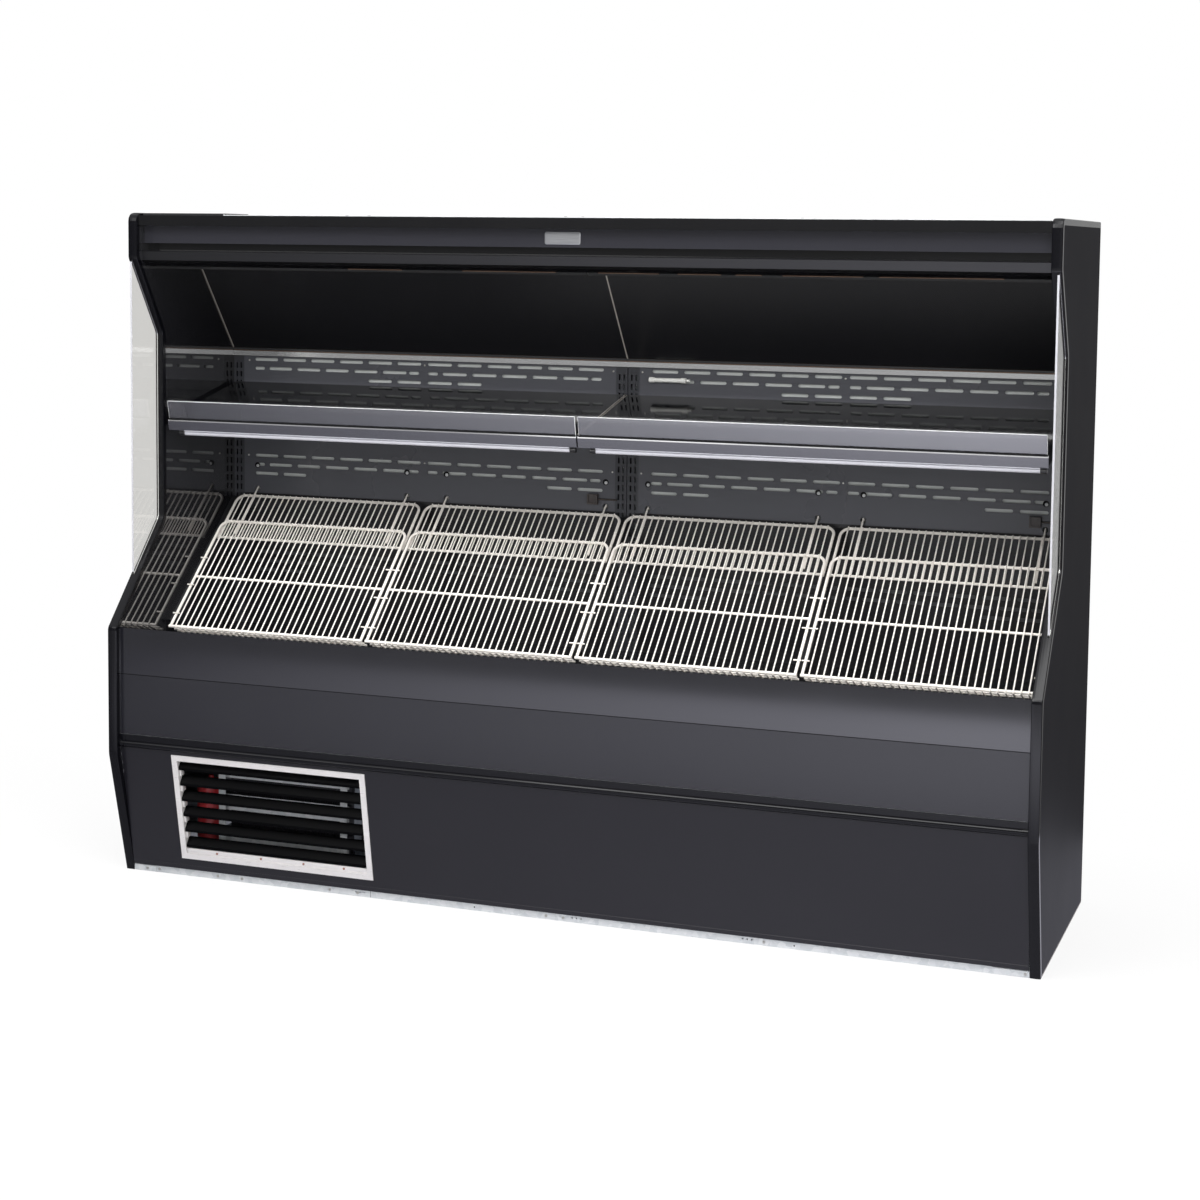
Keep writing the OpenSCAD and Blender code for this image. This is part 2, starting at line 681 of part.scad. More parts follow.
// RACKS
nose_fall = 24;
wire_r = wire_d / 2;
rod_r = rod_d / 2;
wrap_r = front_wire_n - front_rod_n;
wire_n = round((rack_w - rod_d) / wire_pitch);
function wire_x(x, k) = x + rod_r + k * (rack_w - rod_d) / wire_n;
// The hooks lie outside the third wire from each side, and the panels behind have holes for them
hook_gap = wire_r + hook_r - weld;
function hook_xs(x) = [wire_x(x, 3) - hook_gap, wire_x(x, wire_n - 3) + hook_gap];
// The bent frame of a rack, open at its lower end: s0 and s1 are measured down the slope, n up from it
module rack_frame(x, s0, s1, n) {
    rod_x(rod_r, x + rod_r + frame_r, rack_w - rod_d - 2 * frame_r, -s0, n);
    for (e = [x + rod_r, x + rack_w - rod_r]) rod_y(rod_r, e, -s1, s1 - s0 - frame_r, n);
    for (c = [[x + rack_w - rod_r - frame_r, 0], [x + rod_r + frame_r, 90]])
        translate([c[0], -s0 - frame_r, n]) rotate([0, 0, c[1]])
            rotate_extrude(angle = 90) translate([frame_r, 0]) circle(r = rod_r);
}
// A rod between the side rods of a rack, a little thinner than they are
module cross_rod(x, s, n) {
    rod_x(rod_r - 0.5, x + rod_r, rack_w - rod_d, -s, n + 0.25);
}
module rack_rear(i) {
    x = bay_x(i);
    color("#efece6") on_racks() {
        rack_frame(x, top_rod_s, rear_end_s + rod_r, rod_n);
        cross_rod(x, rear_end_s, rod_n);
        for (k = [1 : wire_n - 1]) rod_y(wire_r, wire_x(x, k), -rear_end_s - 2, rear_rack_l + 3, 0);
        for (e = hook_xs(x)) {
            rod_y(hook_r, e, -rear_end_s + 12, rear_end_s - 8, 0);
            translate([e, 4, -5]) rotate([90, 0, 90])
                rotate_extrude(angle = 90) translate([5, 0]) circle(r = hook_r);
            translate([e, 9, -10]) cylinder(r = hook_r, h = 5);
        }
    }
}
// The wires of a front rack wrap round its lowest rod and run back under it
module rack_front(i) {
    x = bay_x(i);
    l = nose_s - front_rod_s;
    color("#efece6") on_racks() {
        rack_frame(x, front_rod_s, nose_s - wrap_r, front_rod_n);
        cross_rod(x, mid_rod_s, front_rod_n);
        rod_x(rod_r + 0.25, x, rack_w, -nose_s + wrap_r, front_rod_n);
        for (k = [1 : wire_n - 1]) {
            rod_y(wire_r, wire_x(x, k), -nose_s + wrap_r, l - wrap_r + 1, front_wire_n);
            translate([wire_x(x, k), -nose_s + wrap_r, front_rod_n]) rotate([90, 0, 90]) rotate([0, 0, 90])
                rotate_extrude(angle = 180 - nose_fall - rack_a) translate([wrap_r, 0]) circle(r = wire_r);
        }
        // Small stubs that stand across the side rods
        for (f = [0.365, 0.617, 0.879]) for (e = [x - 4, x + rack_w - 16])
            rod_x(2, e, 20, -front_rod_s - f * l, front_rod_n + rod_r + 1.5);
        translate([0, -nose_s + wrap_r, front_rod_n]) rotate([-nose_fall - rack_a, 0, 0]) {
            for (k = [1 : wire_n - 1]) rod_y(wire_r, wire_x(x, k), 0, nose_l, -wrap_r);
            for (y = [nose_l * 0.55, nose_l - 3])
                rod_x(3, x + rod_r, rack_w - rod_d, y, wire_r + 2.5 - wrap_r);
        }
    }
}
// World place of a point of the racks, s down the slope and n up from it
function racked(s, n) = [duct_y - s * cos(rack_a) - n * sin(rack_a),
    hook_z - s * sin(rack_a) + n * cos(rack_a)];
bar_n = rod_n - rod_r - slip;
bar_h = 20;
nose_foot = racked(nose_s - wrap_r, front_rod_n) + nose_l * [cos(nose_fall), -sin(nose_fall)]
    + (wrap_r + wire_r) * [-sin(nose_fall), -cos(nose_fall)];
module rack_supports() {
    s0 = (bar_h - bar_n) * tan(rack_a) + slip;
    s1 = nose_s - 40;
    color("#1d1d20") {
        for (b = [[-in_x, 30], [bay_x(1) - rack_gap / 2 - 12, 24], [-12, 24],
            [bay_x(3) - rack_gap / 2 - 12, 24], [in_x - 30, 30]]) {
            on_racks() difference() {
                block([b[0], -s1, bar_n - bar_h], [b[0] + b[1], -s0, bar_n]);
                block([b[0] + 2, -s1 - 1, bar_n - bar_h - 1], [b[0] + b[1] - 2, -s0 + 1, bar_n - 2]);
            }
            for (s = [rear_end_s, s1 - 30]) let (p = racked(s, bar_n - 0.6 * bar_h))
                block([b[0] + 2, p[0] - 6, deck_z], [b[0] + b[1] - 2, p[0] + 6, p[1]]);
        }
        along_x(-in_x, 2 * in_x) polygon(folded([[nose_foot[0] + 14, deck_z],
            [nose_foot[0] + 14, nose_foot[1] - slip], [nose_foot[0] - 10, nose_foot[1] - slip],
            [nose_foot[0] - 10, deck_z]], 2));
    }
}
module deck_pan() {
    color("#19191b") along_x(-in_x, 2 * in_x) polygon(folded([[duct_y + 20, deck_z - 15],
        [duct_y + 20, deck_z], [ledge_y, deck_z], [ledge_y, deck_z - 30]], sheet));
}

// SMALL FITTINGS ON THE BACK
module thermometer() {
    x = 65;
    z = duct_top - 45;
    color("#f2f2ee") {
        rod_x(6, x + 6, 98, duct_y - 8, z);
        for (e = [x, x + 90]) {
            rod_x(7.5, e, 14, duct_y - 8, z);
            block([e + 2, duct_y - 8, z - 5], [e + 12, duct_y, z + 5]);
        }
        rod_x(4, x + 103, 12, duct_y - 8, z);
    }
}
module light_sockets() {
    z = hook_z + 20;
    for (s = [[-112, 30, -upright_w - 1], [in_x - upright_w - 84, 30, in_x - upright_w]]) {
        color("#3a3735") difference() {
            block([s[0], duct_y - 12, z - 14], [s[0] + s[1], duct_y, z + 14]);
            block([s[0] + 4, duct_y - 13, z - 10], [s[0] + s[1] - 4, duct_y - 9, z + 10]);
        }
        color("#e9e9e6") rod_x(2.5, s[0] + s[1], s[2] - s[0] - s[1] + 6, duct_y - 2.8, z);
    }
}

// COOLING COIL UNDER THE DECK
cold_z = tub_z + tub_t;
cold_top = deck_z - sheet;
cold_fan_z = (cold_z + cold_top) / 2;
cold_fan_r = (cold_top - cold_z) / 2 - 14;
cold_fan_y = ledge_y + 100;
coil_front = cold_fan_y + 100;
cold_fan_xs = [-0.4 * in_x, 0.4 * in_x];
// A finned block between two corners with n fins and end plates
module fins(a, b, n, depth) {
    p = (b[0] - a[0] - 8) / n;
    translate([0, 0, a[2]]) linear_extrude(b[2] - a[2]) difference() {
        translate([a[0], a[1]]) square([b[0] - a[0], b[1] - a[1]]);
        for (i = [0 : n - 1]) for (y = [a[1] - 1, b[1] - depth])
            translate([a[0] + 4 + (i + 0.25) * p, y]) square([p / 2, depth + 1]);
    }
}
module evaporator_coil() {
    x = 0.78 * in_x;
    color("#b8bbbd") fins([-x, coil_front, cold_z], [x, coil_front + 140, cold_top], 70, 18);
    color("#b5713f") for (s = [-1, 1]) for (z = [cold_z + 30, cold_z + 80]) for (y = [30, 80])
        translate([s * (x - 1), coil_front + y, z]) rotate([90, 0, 0]) rotate([0, 0, -90 * s])
            rotate_extrude(angle = 180) translate([14, 0]) circle(r = 5);
}
module fan_panel() {
    color("#a9adb0") {
        difference() {
            block([-in_x + 1, cold_fan_y, cold_z], [in_x - 1, cold_fan_y + 2, cold_top]);
            for (x = cold_fan_xs) rod_y(cold_fan_r + 3, x, cold_fan_y - 1, 4, cold_fan_z);
        }
        for (z = [cold_z, cold_top - 2])
            block([-in_x + 1, cold_fan_y + 1, z], [in_x - 1, cold_fan_y + 22, z + 2]);
        for (x = cold_fan_xs) {
            for (e = [x - cold_fan_r - 14, x + cold_fan_r + 6])
                block([e, cold_fan_y + 1, cold_fan_z - 6], [e + 8, cold_fan_y + 32, cold_fan_z + 6]);
            block([x - cold_fan_r - 10, cold_fan_y + 28, cold_fan_z - 6],
                [x + cold_fan_r + 10, cold_fan_y + 32, cold_fan_z + 6]);
            rod_y(22, x, cold_fan_y + 18, 40, cold_fan_z);
            rod_y(shaft_r, x, cold_fan_y - 14, 34, cold_fan_z);
        }
    }
}
// A fan on a shaft along Y: hub with a bore and pitched blades
module fan(r, hub, l, n) {
    difference() {
        union() {
            rotate([-90, 0, 0]) cylinder(r = hub, h = l);
            intersection() {
                rotate([-90, 0, 0]) cylinder(r = r, h = l);
                for (k = [0 : n - 1]) rotate([0, k * 360 / n, 0]) translate([hub - 3, l / 2, 0])
                    rotate([58, 0, 0]) block([0, -l, -0.8], [r, l, 0.8]);
            }
        }
        translate([0, -1, 0]) rotate([-90, 0, 0]) cylinder(r = shaft_r + shaft_fit, h = l + 2);
    }
}
module evaporator_fan(k) {
    color("#2b2b2e") translate([cold_fan_xs[k], cold_fan_y - 12, cold_fan_z]) fan(cold_fan_r, 14, 22, 5);
}

// CONDENSING UNIT
module condenser_coil() {
    x = coil_x + condenser_w;
    color("#1c1c1e") fins([coil_x, coil_y, unit_z], [x, coil_y + coil_d, unit_z + condenser_h], 48, 14);
    color("#b5713f") for (k = [0 : 3]) translate([x - 1, coil_y + coil_d / 2, unit_z + 36 + k * 56])
        rotate([90, 0, 0]) rotate([0, 0, -90])
            rotate_extrude(angle = 180) translate([13, 0]) circle(r = 4.5);
}
module condenser_shroud() {
    y0 = coil_y + coil_d;
    color("#8d9296") difference() {
        block([coil_x, y0, unit_z], [coil_x + condenser_w, y0 + shroud_d, unit_z + condenser_h]);
        block([coil_x + 2, y0 - 1, unit_z + 2],
            [coil_x + condenser_w - 2, y0 + shroud_d - 2, unit_z + condenser_h - 2]);
        rod_y(fan_r + 4, fan_x, y0, shroud_d + 2, fan_z);
    }
}
motor_y = coil_y + coil_d + shroud_d + 16;
module condenser_motor() {
    color("#3a3c40") {
        rod_y(38, fan_x, motor_y, 66, fan_z);
        rod_y(shaft_r, fan_x, motor_y - 36, 40, fan_z);
        block([fan_x - 14, motor_y + 14, unit_z], [fan_x + 14, motor_y + 20, fan_z - 30]);
        block([fan_x - 40, motor_y + 4, unit_z], [fan_x + 40, motor_y + 44, unit_z + 3]);
    }
}
module condenser_fan() {
    color("#c8cacc") translate([fan_x, motor_y - 34, fan_z]) fan(fan_r, 20, 26, 5);
}
module compressor() {
    r = compressor_r;
    h = compressor_h;
    color("#202124") translate([fan_x, motor_y + 66 + r + 40, unit_z]) {
        difference() {
            block([-r - 14, -r - 4, 0], [r + 14, r + 4, 4]);
            for (x = [-r - 4, r + 4]) for (y = [8 - r, r - 8]) translate([x, y, -1]) cylinder(r = 4, h = 6);
        }
        rotate_extrude() polygon(concat([[0, 3], [r - 22, 3], [r - 6, 20], [r - 6, h - 90], [r, h - 90],
            [r, h - 82], [r - 6, h - 82]],
            [for (k = [0 : 8]) [r - 46 + 40 * cos(k * 11.25), h - 40 + 40 * sin(k * 11.25)]], [[0, h]]));
        translate([r * 0.3, 0, h - 5]) cylinder(r = 16, h = 22);
    }
}
module receiver_tank() {
    r = tank_r;
    color("#c41420") translate([louvre_x + 30, coil_y + 46, unit_z]) {
        rotate_extrude() polygon(concat([[0, 18], [r * 0.6, 20]],
            [for (a = [-75 : 12.5 : 0]) [r - 14 + 14 * cos(a), 36 + 14 * sin(a)]],
            [for (a = [0 : 12.5 : 75]) [r - 14 + 14 * cos(a), tank_h - 14 + 14 * sin(a)]], [[0, tank_h]]));
        difference() {
            cylinder(r = r - 4, h = 26);
            translate([0, 0, -1]) cylinder(r = r - 7, h = 15);
        }
        translate([0, 0, tank_h - 4]) cylinder(r = 7, h = 16);
    }
}

base_frame();
base_pan();
rear_grille();
tub();
rear_wall();
top_panel();
end_panel(-1);  // end_panel_left
end_panel(1);  // end_panel_right
end_trim(-1);  // end_trim_left
end_trim(1);  // end_trim_right
end_glass(-1);  // end_glass_left
end_glass(1);  // end_glass_right
canopy_front();
roof_cover();
canopy_lamp();
air_outlet();
upper_baffle(-1);  // upper_baffle_left
upper_baffle(1);  // upper_baffle_right
duct_cap();
duct_panel(-1);  // duct_panel_left
duct_panel(1);  // duct_panel_right
shelf_uprights();
shelf(0);  // shelf_left
shelf(1);  // shelf_right
shelf_brackets(0);  // shelf_brackets_left
shelf_brackets(1);  // shelf_brackets_right
shelf_fence(0);  // shelf_fence_left
shelf_fence(1);  // shelf_fence_right
price_rail(0);  // price_rail_left
price_rail(1);  // price_rail_right
shelf_lamp(0);  // shelf_lamp_left
shelf_lamp(1);  // shelf_lamp_right
front_lip();
front_panel_upper();
bumper_rail();
front_panel_lower();
louvre_frame();
louvre_blades();
rack_rear(0);  // rack_rear_1
rack_rear(1);  // rack_rear_2
rack_rear(2);  // rack_rear_3
rack_rear(3);  // rack_rear_4
rack_front(0);  // rack_front_1
rack_front(1);  // rack_front_2
rack_front(2);  // rack_front_3
rack_front(3);  // rack_front_4
rack_supports();
deck_pan();
thermometer();
light_sockets();
evaporator_coil();
fan_panel();
evaporator_fan(0);  // evaporator_fan_left
evaporator_fan(1);  // evaporator_fan_right
condenser_coil();
condenser_shroud();
condenser_motor();
condenser_fan();
compressor();
receiver_tank();
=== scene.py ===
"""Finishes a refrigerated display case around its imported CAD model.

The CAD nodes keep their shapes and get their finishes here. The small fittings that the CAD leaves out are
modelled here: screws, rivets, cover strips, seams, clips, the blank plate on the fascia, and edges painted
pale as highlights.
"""
import math

import bmesh
import bpy
from mathutils import Matrix, Vector


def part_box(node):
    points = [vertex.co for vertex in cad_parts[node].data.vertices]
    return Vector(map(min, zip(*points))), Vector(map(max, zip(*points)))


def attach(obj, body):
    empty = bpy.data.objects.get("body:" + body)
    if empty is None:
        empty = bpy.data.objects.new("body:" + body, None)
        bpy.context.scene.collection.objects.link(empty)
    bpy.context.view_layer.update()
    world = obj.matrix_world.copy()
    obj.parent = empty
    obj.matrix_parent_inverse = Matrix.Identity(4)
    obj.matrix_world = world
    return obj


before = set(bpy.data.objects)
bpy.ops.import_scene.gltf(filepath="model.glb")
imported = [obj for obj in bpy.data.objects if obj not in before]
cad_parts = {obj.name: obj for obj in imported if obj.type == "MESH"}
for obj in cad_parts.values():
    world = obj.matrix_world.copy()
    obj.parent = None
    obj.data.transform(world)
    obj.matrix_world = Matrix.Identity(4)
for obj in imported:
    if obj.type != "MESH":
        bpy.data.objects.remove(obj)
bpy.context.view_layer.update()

bl_info = {
    "name": "Display Case Finishes",
    "version": (1, 0, 0),
    "blender": (4, 5, 0),
    "location": "View3D > Sidebar > Display Case",
    "description": "Finishes and small fittings of an open refrigerated display case",
    "category": "Object",
}

MM = 0.001
X, Y = Vector((1, 0, 0)), Vector((0, 1, 0))

# Sheets that lean: the turn about X and the pivot in millimetres, from which pieces on the sheet are measured
SHELF = (math.radians(12.4), Vector((0, 262, 1312.4)))
LOWER_PANEL = (math.atan2(63, 337), Vector((0, -360, 356)))
BAFFLE_DEPTH, BAFFLE_DROP = 180, 230
BAFFLE = (math.atan2(-BAFFLE_DROP, BAFFLE_DEPTH), Vector((0, 78, 1638)))
# The clear fence on its leaning shelf, in millimetres: its front and back faces and its height
FENCE_FRONT, FENCE_BACK, FENCE_HEIGHT = -399, -395, 50
# Places of the rack hooks along the rear panels, in millimetres from the middle
HOOKS = (61.5, 540.5, 663.5, 1142.5)
# Height in millimetres of the racks' upper ends, below which the rear panels and the sheet behind their slots
# are painted darker as shade
RACK_TOP = 985
# The floor rail's face and the face of the plates at its ends, in millimetres, and the height of its screws
RAIL_FACE, RAIL_PLATES, RAIL_SCREWS = -292, -294.5, 9


def reach(node):
    """The lowest and the highest corner of a CAD node, in millimetres."""
    return [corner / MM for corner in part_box(node)]


# Colours and nodes
def linear(code):
    """The linear colour of an sRGB hex code."""
    parts = [int(code[i:i + 2], 16) / 255 for i in (1, 3, 5)]
    return [p / 12.92 if p <= 0.04045 else ((p + 0.055) / 1.055) ** 2.4 for p in parts] + [1.0]


def add(tree, kind, sockets=None, **settings):
    """Adds a node, with its settings, and with each named or numbered input linked or set."""
    node = tree.nodes.new(kind)
    for name, value in settings.items():
        setattr(node, name, value)
    for name, value in (sockets or {}).items():
        if isinstance(value, bpy.types.NodeSocket):
            tree.links.new(value, node.inputs[name])
        else:
            node.inputs[name].default_value = value
    return node


def blank(name, **constants):
    """A new material with its shader, whose constant values stand on the shader's own sockets."""
    material = bpy.data.materials.new(name)
    material.use_nodes = True
    tree = material.node_tree
    tree.nodes.clear()
    shader = add(tree, "ShaderNodeBsdfPrincipled",
                 {key.replace("_", " "): value for key, value in constants.items()})
    add(tree, "ShaderNodeOutputMaterial", {"Surface": shader.outputs[0]})
    place = add(tree, "ShaderNodeTexCoord").outputs["Object"]
    return material, tree, shader, place


def colour(name, default, description):
    """A colour that the user can change, with its default as a hex code."""
    return bpy.props.FloatVectorProperty(name=name, description=description, subtype="COLOR", size=4,
                                         min=0, max=1, default=linear(default))


def length(name, default, description):
    """A length that the user can change, with its default in millimetres."""
    return bpy.props.FloatProperty(name=name, description=description, unit="LENGTH", subtype="DISTANCE",
                                   min=0, default=default * MM)


class CaseColours(bpy.types.PropertyGroup):
    """Colours of the case's finishes."""
    lip: colour("Front lip", "#121218", "Gloss slate paint of the front lip")
    front: colour("Front panels", "#17171d", "Slate paint of the front panels")
    ends: colour("End panels", "#18171e", "Dark grey paint on the outside of the ends")
    inner: colour("Inner gloss", "#1a1a1d", "Black gloss of the deck, the baffles and the ends' insides")
    ducts: colour("Rear panels", "#494a50", "Grey paint of the slotted rear panels")
    rails: colour("Price rail", "#2b2b33", "Grey of the price rail")
    wires: colour("Rack wires", "#fbf4ee", "Warm white coating of the racks")
    tank: colour("Tank", "#b5101c", "Red paint of the receiver tank")


class CaseFittings(bpy.types.PropertyGroup):
    """Sizes of the small fittings."""
    screw: length("Screw head", 7.0, "Diameter of a screw's head")
    rivet: length("Rivet head", 6.0, "Diameter of a rivet's head")
    plate_width: length("Plate width", 96.0, "Width of the blank plate on the fascia")
    plate_height: length("Plate height", 32.0, "Height of the blank plate on the fascia")
    strip: length("Cover strip", 3.6, "Width of the strip that covers the baffles' joint")


class CaseStage(bpy.types.PropertyGroup):
    """Camera and light."""
    lens: bpy.props.FloatProperty(name="Lens", description="Focal length on a 36 mm sensor, in millimetres",
                                  min=20, max=200, default=66.885)
    turn: bpy.props.FloatProperty(name="Turn", description="Turn of the camera to the left of straight ahead",
                                  subtype="ANGLE", default=math.radians(20.062))
    dip: bpy.props.FloatProperty(name="Dip", description="How far the camera looks down", subtype="ANGLE",
                                 default=math.radians(4.804))
    tilt: bpy.props.FloatProperty(name="Tilt", description="Tilt of the camera about its own axis",
                                  subtype="ANGLE", default=math.radians(0.612))
    place: bpy.props.FloatVectorProperty(name="Place", description="Where the camera stands",
                                         subtype="TRANSLATION", unit="LENGTH",
                                         default=(2.0173, -5.4802, 1.7178))
    shift: bpy.props.FloatProperty(name="Shift", description="Vertical shift of the lens", default=-0.14)


# Finishes
def varied(name, base, worn, rough, spread, cloud, grain, relief, **constants):
    """A sheet or moulding. cloud and grain are the sizes in millimetres of the broad changes of colour and
    gloss and of the fine texture, and relief is the height of that texture in millimetres."""
    material, tree, shader, place = blank(name, **constants)
    broad = add(tree, "ShaderNodeTexNoise",
                {"Vector": place, "Scale": 1 / (cloud * MM), "Detail": 4.0, "Roughness": 0.55}).outputs["Fac"]
    even = add(tree, "ShaderNodeMapRange",
               {"Value": broad, "From Min": 0.15, "From Max": 0.85}).outputs["Result"]
    mix = add(tree, "ShaderNodeMix", {0: even, 6: list(base), 7: list(worn)}, data_type="RGBA")
    tree.links.new(mix.outputs[2], shader.inputs["Base Color"])
    gloss = add(tree, "ShaderNodeMapRange",
                {"Value": even, "To Min": rough - spread, "To Max": rough + spread})
    tree.links.new(gloss.outputs["Result"], shader.inputs["Roughness"])
    fine = add(tree, "ShaderNodeTexNoise", {"Vector": place, "Scale": 1 / (grain * MM), "Detail": 2.0})
    bump = add(tree, "ShaderNodeBump",
               {"Height": fine.outputs["Fac"], "Strength": 1.0, "Distance": relief * MM})
    tree.links.new(bump.outputs["Normal"], shader.inputs["Normal"])
    return material


def lighter(value, part):
    """A colour moved part of the way to white."""
    return [c + (1 - c) * part for c in list(value)[:3]] + [1.0]


def galvanised_steel(name, size, rough, pale="#c3c7ca", dark="#b0b5b8", metallic=1.0):
    """Hot dip zinc: a cool grey whose crystals each catch the light at their own angle."""
    material, tree, shader, place = blank(name, Metallic=metallic)
    cells = add(tree, "ShaderNodeTexVoronoi", {"Vector": place, "Scale": 1 / (size * MM), "Randomness": 1.0})
    tone = add(tree, "ShaderNodeSeparateColor", {"Color": cells.outputs["Color"]}).outputs["Red"]
    mix = add(tree, "ShaderNodeMix", {0: tone, 6: linear(dark), 7: linear(pale)}, data_type="RGBA")
    tree.links.new(mix.outputs[2], shader.inputs["Base Color"])
    gloss = add(tree, "ShaderNodeMapRange", {"Value": tone, "To Min": rough - 0.04, "To Max": rough + 0.05})
    tree.links.new(gloss.outputs["Result"], shader.inputs["Roughness"])
    return material


def brushed_metal(name, base, rough, line, metallic=1.0):
    """Rolled aluminium: fine lines along X, which draw the highlights out."""
    material, tree, shader, place = blank(name, Metallic=metallic)
    laid = add(tree, "ShaderNodeMapping", {"Vector": place, "Scale": (0.02, 1.0, 1.0)})
    lines = add(tree, "ShaderNodeTexNoise",
                {"Vector": laid.outputs["Vector"], "Scale": 1 / (line * MM), "Detail": 3.0}).outputs["Fac"]
    mix = add(tree, "ShaderNodeMix", {0: lines, 6: list(base), 7: lighter(base, 0.35)}, data_type="RGBA")
    tree.links.new(mix.outputs[2], shader.inputs["Base Color"])
    gloss = add(tree, "ShaderNodeMapRange", {"Value": lines, "To Min": rough - 0.07, "To Max": rough + 0.07})
    tree.links.new(gloss.outputs["Result"], shader.inputs["Roughness"])
    bump = add(tree, "ShaderNodeBump", {"Height": lines, "Strength": 0.4, "Distance": 0.02 * MM})
    tree.links.new(bump.outputs["Normal"], shader.inputs["Normal"])
    return material


def within(tree, at, bands):
    """A mask that is 1 where a coordinate lies in one of the bands, which are pairs of millimetres."""
    masks = [add(tree, "ShaderNodeMath", {0: at, 1: (low + high) / 2 * MM, 2: (high - low) / 2 * MM},
                 operation="COMPARE").outputs[0] for low, high in bands]
    mask = masks[0]
    for other in masks[1:]:
        mask = add(tree, "ShaderNodeMath", {0: mask, 1: other}, operation="MAXIMUM").outputs[0]
    return mask


def zoned(material, axis, band, tint, gloss=None, coated=False):
    """Gives the part of a material's surface that lies in a band along an axis another colour, another
    roughness or a clear coat. The band is a pair of millimetres, and on the X axis it holds on both sides."""
    tree = material.node_tree
    shader = next(n for n in tree.nodes if n.type == "BSDF_PRINCIPLED")
    place = next(n for n in tree.nodes if n.type == "TEX_COORD").outputs["Object"]
    at = add(tree, "ShaderNodeSeparateXYZ", {"Vector": place}).outputs[axis]
    if axis == "X":
        at = add(tree, "ShaderNodeMath", {0: at}, operation="ABSOLUTE").outputs[0]
    inside = within(tree, at, [band])
    before = shader.inputs["Base Color"].links[0].from_socket
    mix = add(tree, "ShaderNodeMix", {0: inside, 6: before, 7: list(tint)}, data_type="RGBA")
    tree.links.new(mix.outputs[2], shader.inputs["Base Color"])
    if gloss is not None:
        before = shader.inputs["Roughness"].links[0].from_socket
        mix = add(tree, "ShaderNodeMix", {0: inside, 2: before, 3: gloss})
        tree.links.new(mix.outputs[0], shader.inputs["Roughness"])
    if coated:
        tree.links.new(inside, shader.inputs["Coat Weight"])
    return material


def lamp_tube(name, holders, glow):
    """Opal tube that glows evenly, with its black holders and the base strip over it."""
    material, tree, shader, place = blank(name, Roughness=0.35, Emission_Strength=glow)
    x = add(tree, "ShaderNodeSeparateXYZ", {"Vector": place}).outputs["X"]
    dark = within(tree, x, holders)
    tube = add(tree, "ShaderNodeMix", {0: dark, 6: linear("#b0b0b8"), 7: linear("#18181a")},
               data_type="RGBA")
    light = add(tree, "ShaderNodeMix", {0: dark, 6: linear("#fffef8"), 7: linear("#000000")},
                data_type="RGBA")
    tree.links.new(tube.outputs[2], shader.inputs["Base Color"])
    tree.links.new(light.outputs[2], shader.inputs["Emission Color"])
    return material


def clear_sheet(name, tint, rough, clear, **constants):
    """Clear plastic: faintly grey through its thickness, with broad faint marks from cleaning."""
    material, tree, shader, place = blank(name, Base_Color=linear(tint), Transmission_Weight=clear,
                                          **constants)
    marks = add(tree, "ShaderNodeTexNoise", {"Vector": place, "Scale": 1 / (83.3 * MM), "Detail": 6.0})
    gloss = add(tree, "ShaderNodeMapRange",
                {"Value": marks.outputs["Fac"], "To Min": 0.0, "To Max": rough})
    tree.links.new(gloss.outputs["Result"], shader.inputs["Roughness"])
    return material


# In each group of finishes, a comment says what the material is and what it gives the eye
def front_paints(c):
    """Paints of the front, the canopy and the ends."""
    fascia, lower_strip, foot = (1709, 1755.5), (1656, 1689), (-1, 4)
    inside = (0, reach("end_panel_right")[0].x + 2)
    return {
        # Gloss slate enamel on the folded lip: almost a mirror for the floor and the studio in front
        "lip": varied("slate_gloss_enamel", c.lip, lighter(c.lip, 0.003), 0.08, 0.01, 400, 2.0, 0.004),
        # Slate powder coat on sheet steel, semi gloss: a cool dark grey with soft highlights and orange peel
        "front": varied("slate_powder_coat", c.front, lighter(c.front, 0.004), 0.26, 0.02, 300, 1.5, 0.01),
        # The same coat on the lower panel, a little duller, and darker as painted shade
        "lower": varied("slate_powder_coat_painted_shade", linear("#131218"), linear("#16151b"), 0.3, 0.02, 300, 1.5,
                        0.01),
        # Black enamel of the louvre's blades, dull: only their folds catch the light
        "blades": varied("black_blade_enamel", linear("#020203"), linear("#050506"), 0.35, 0.05, 60, 1.2,
                         0.01, Specular_IOR_Level=0.05),
        # Canopy: black enamel above and in the recess, slate paint on the fascia and on the lower strip
        "canopy": zoned(zoned(varied("black_and_slate_enamel", linear("#09090b"), linear("#0d0d0f"), 0.16,
                                     0.02, 260, 1.6, 0.005), "Z", fascia, linear("#28282e")),
                        "Z", lower_strip, linear("#0b0b0e"), 0.4),
        # End panel: dark grey powder coat outside with a bare lower edge, and inside a black gloss sheet
        # that mirrors the racks
        "ends": zoned(zoned(varied("two_sided_end_sheet", c.ends, lighter(c.ends, 0.004), 0.5, 0.03, 300,
                                   1.6, 0.02, Specular_IOR_Level=0.08, Coat_IOR=2.3, Coat_Roughness=0.03),
                            "Z", foot, linear("#b4afae")),
                      "X", inside, c.inner, 0.06, True),
    }


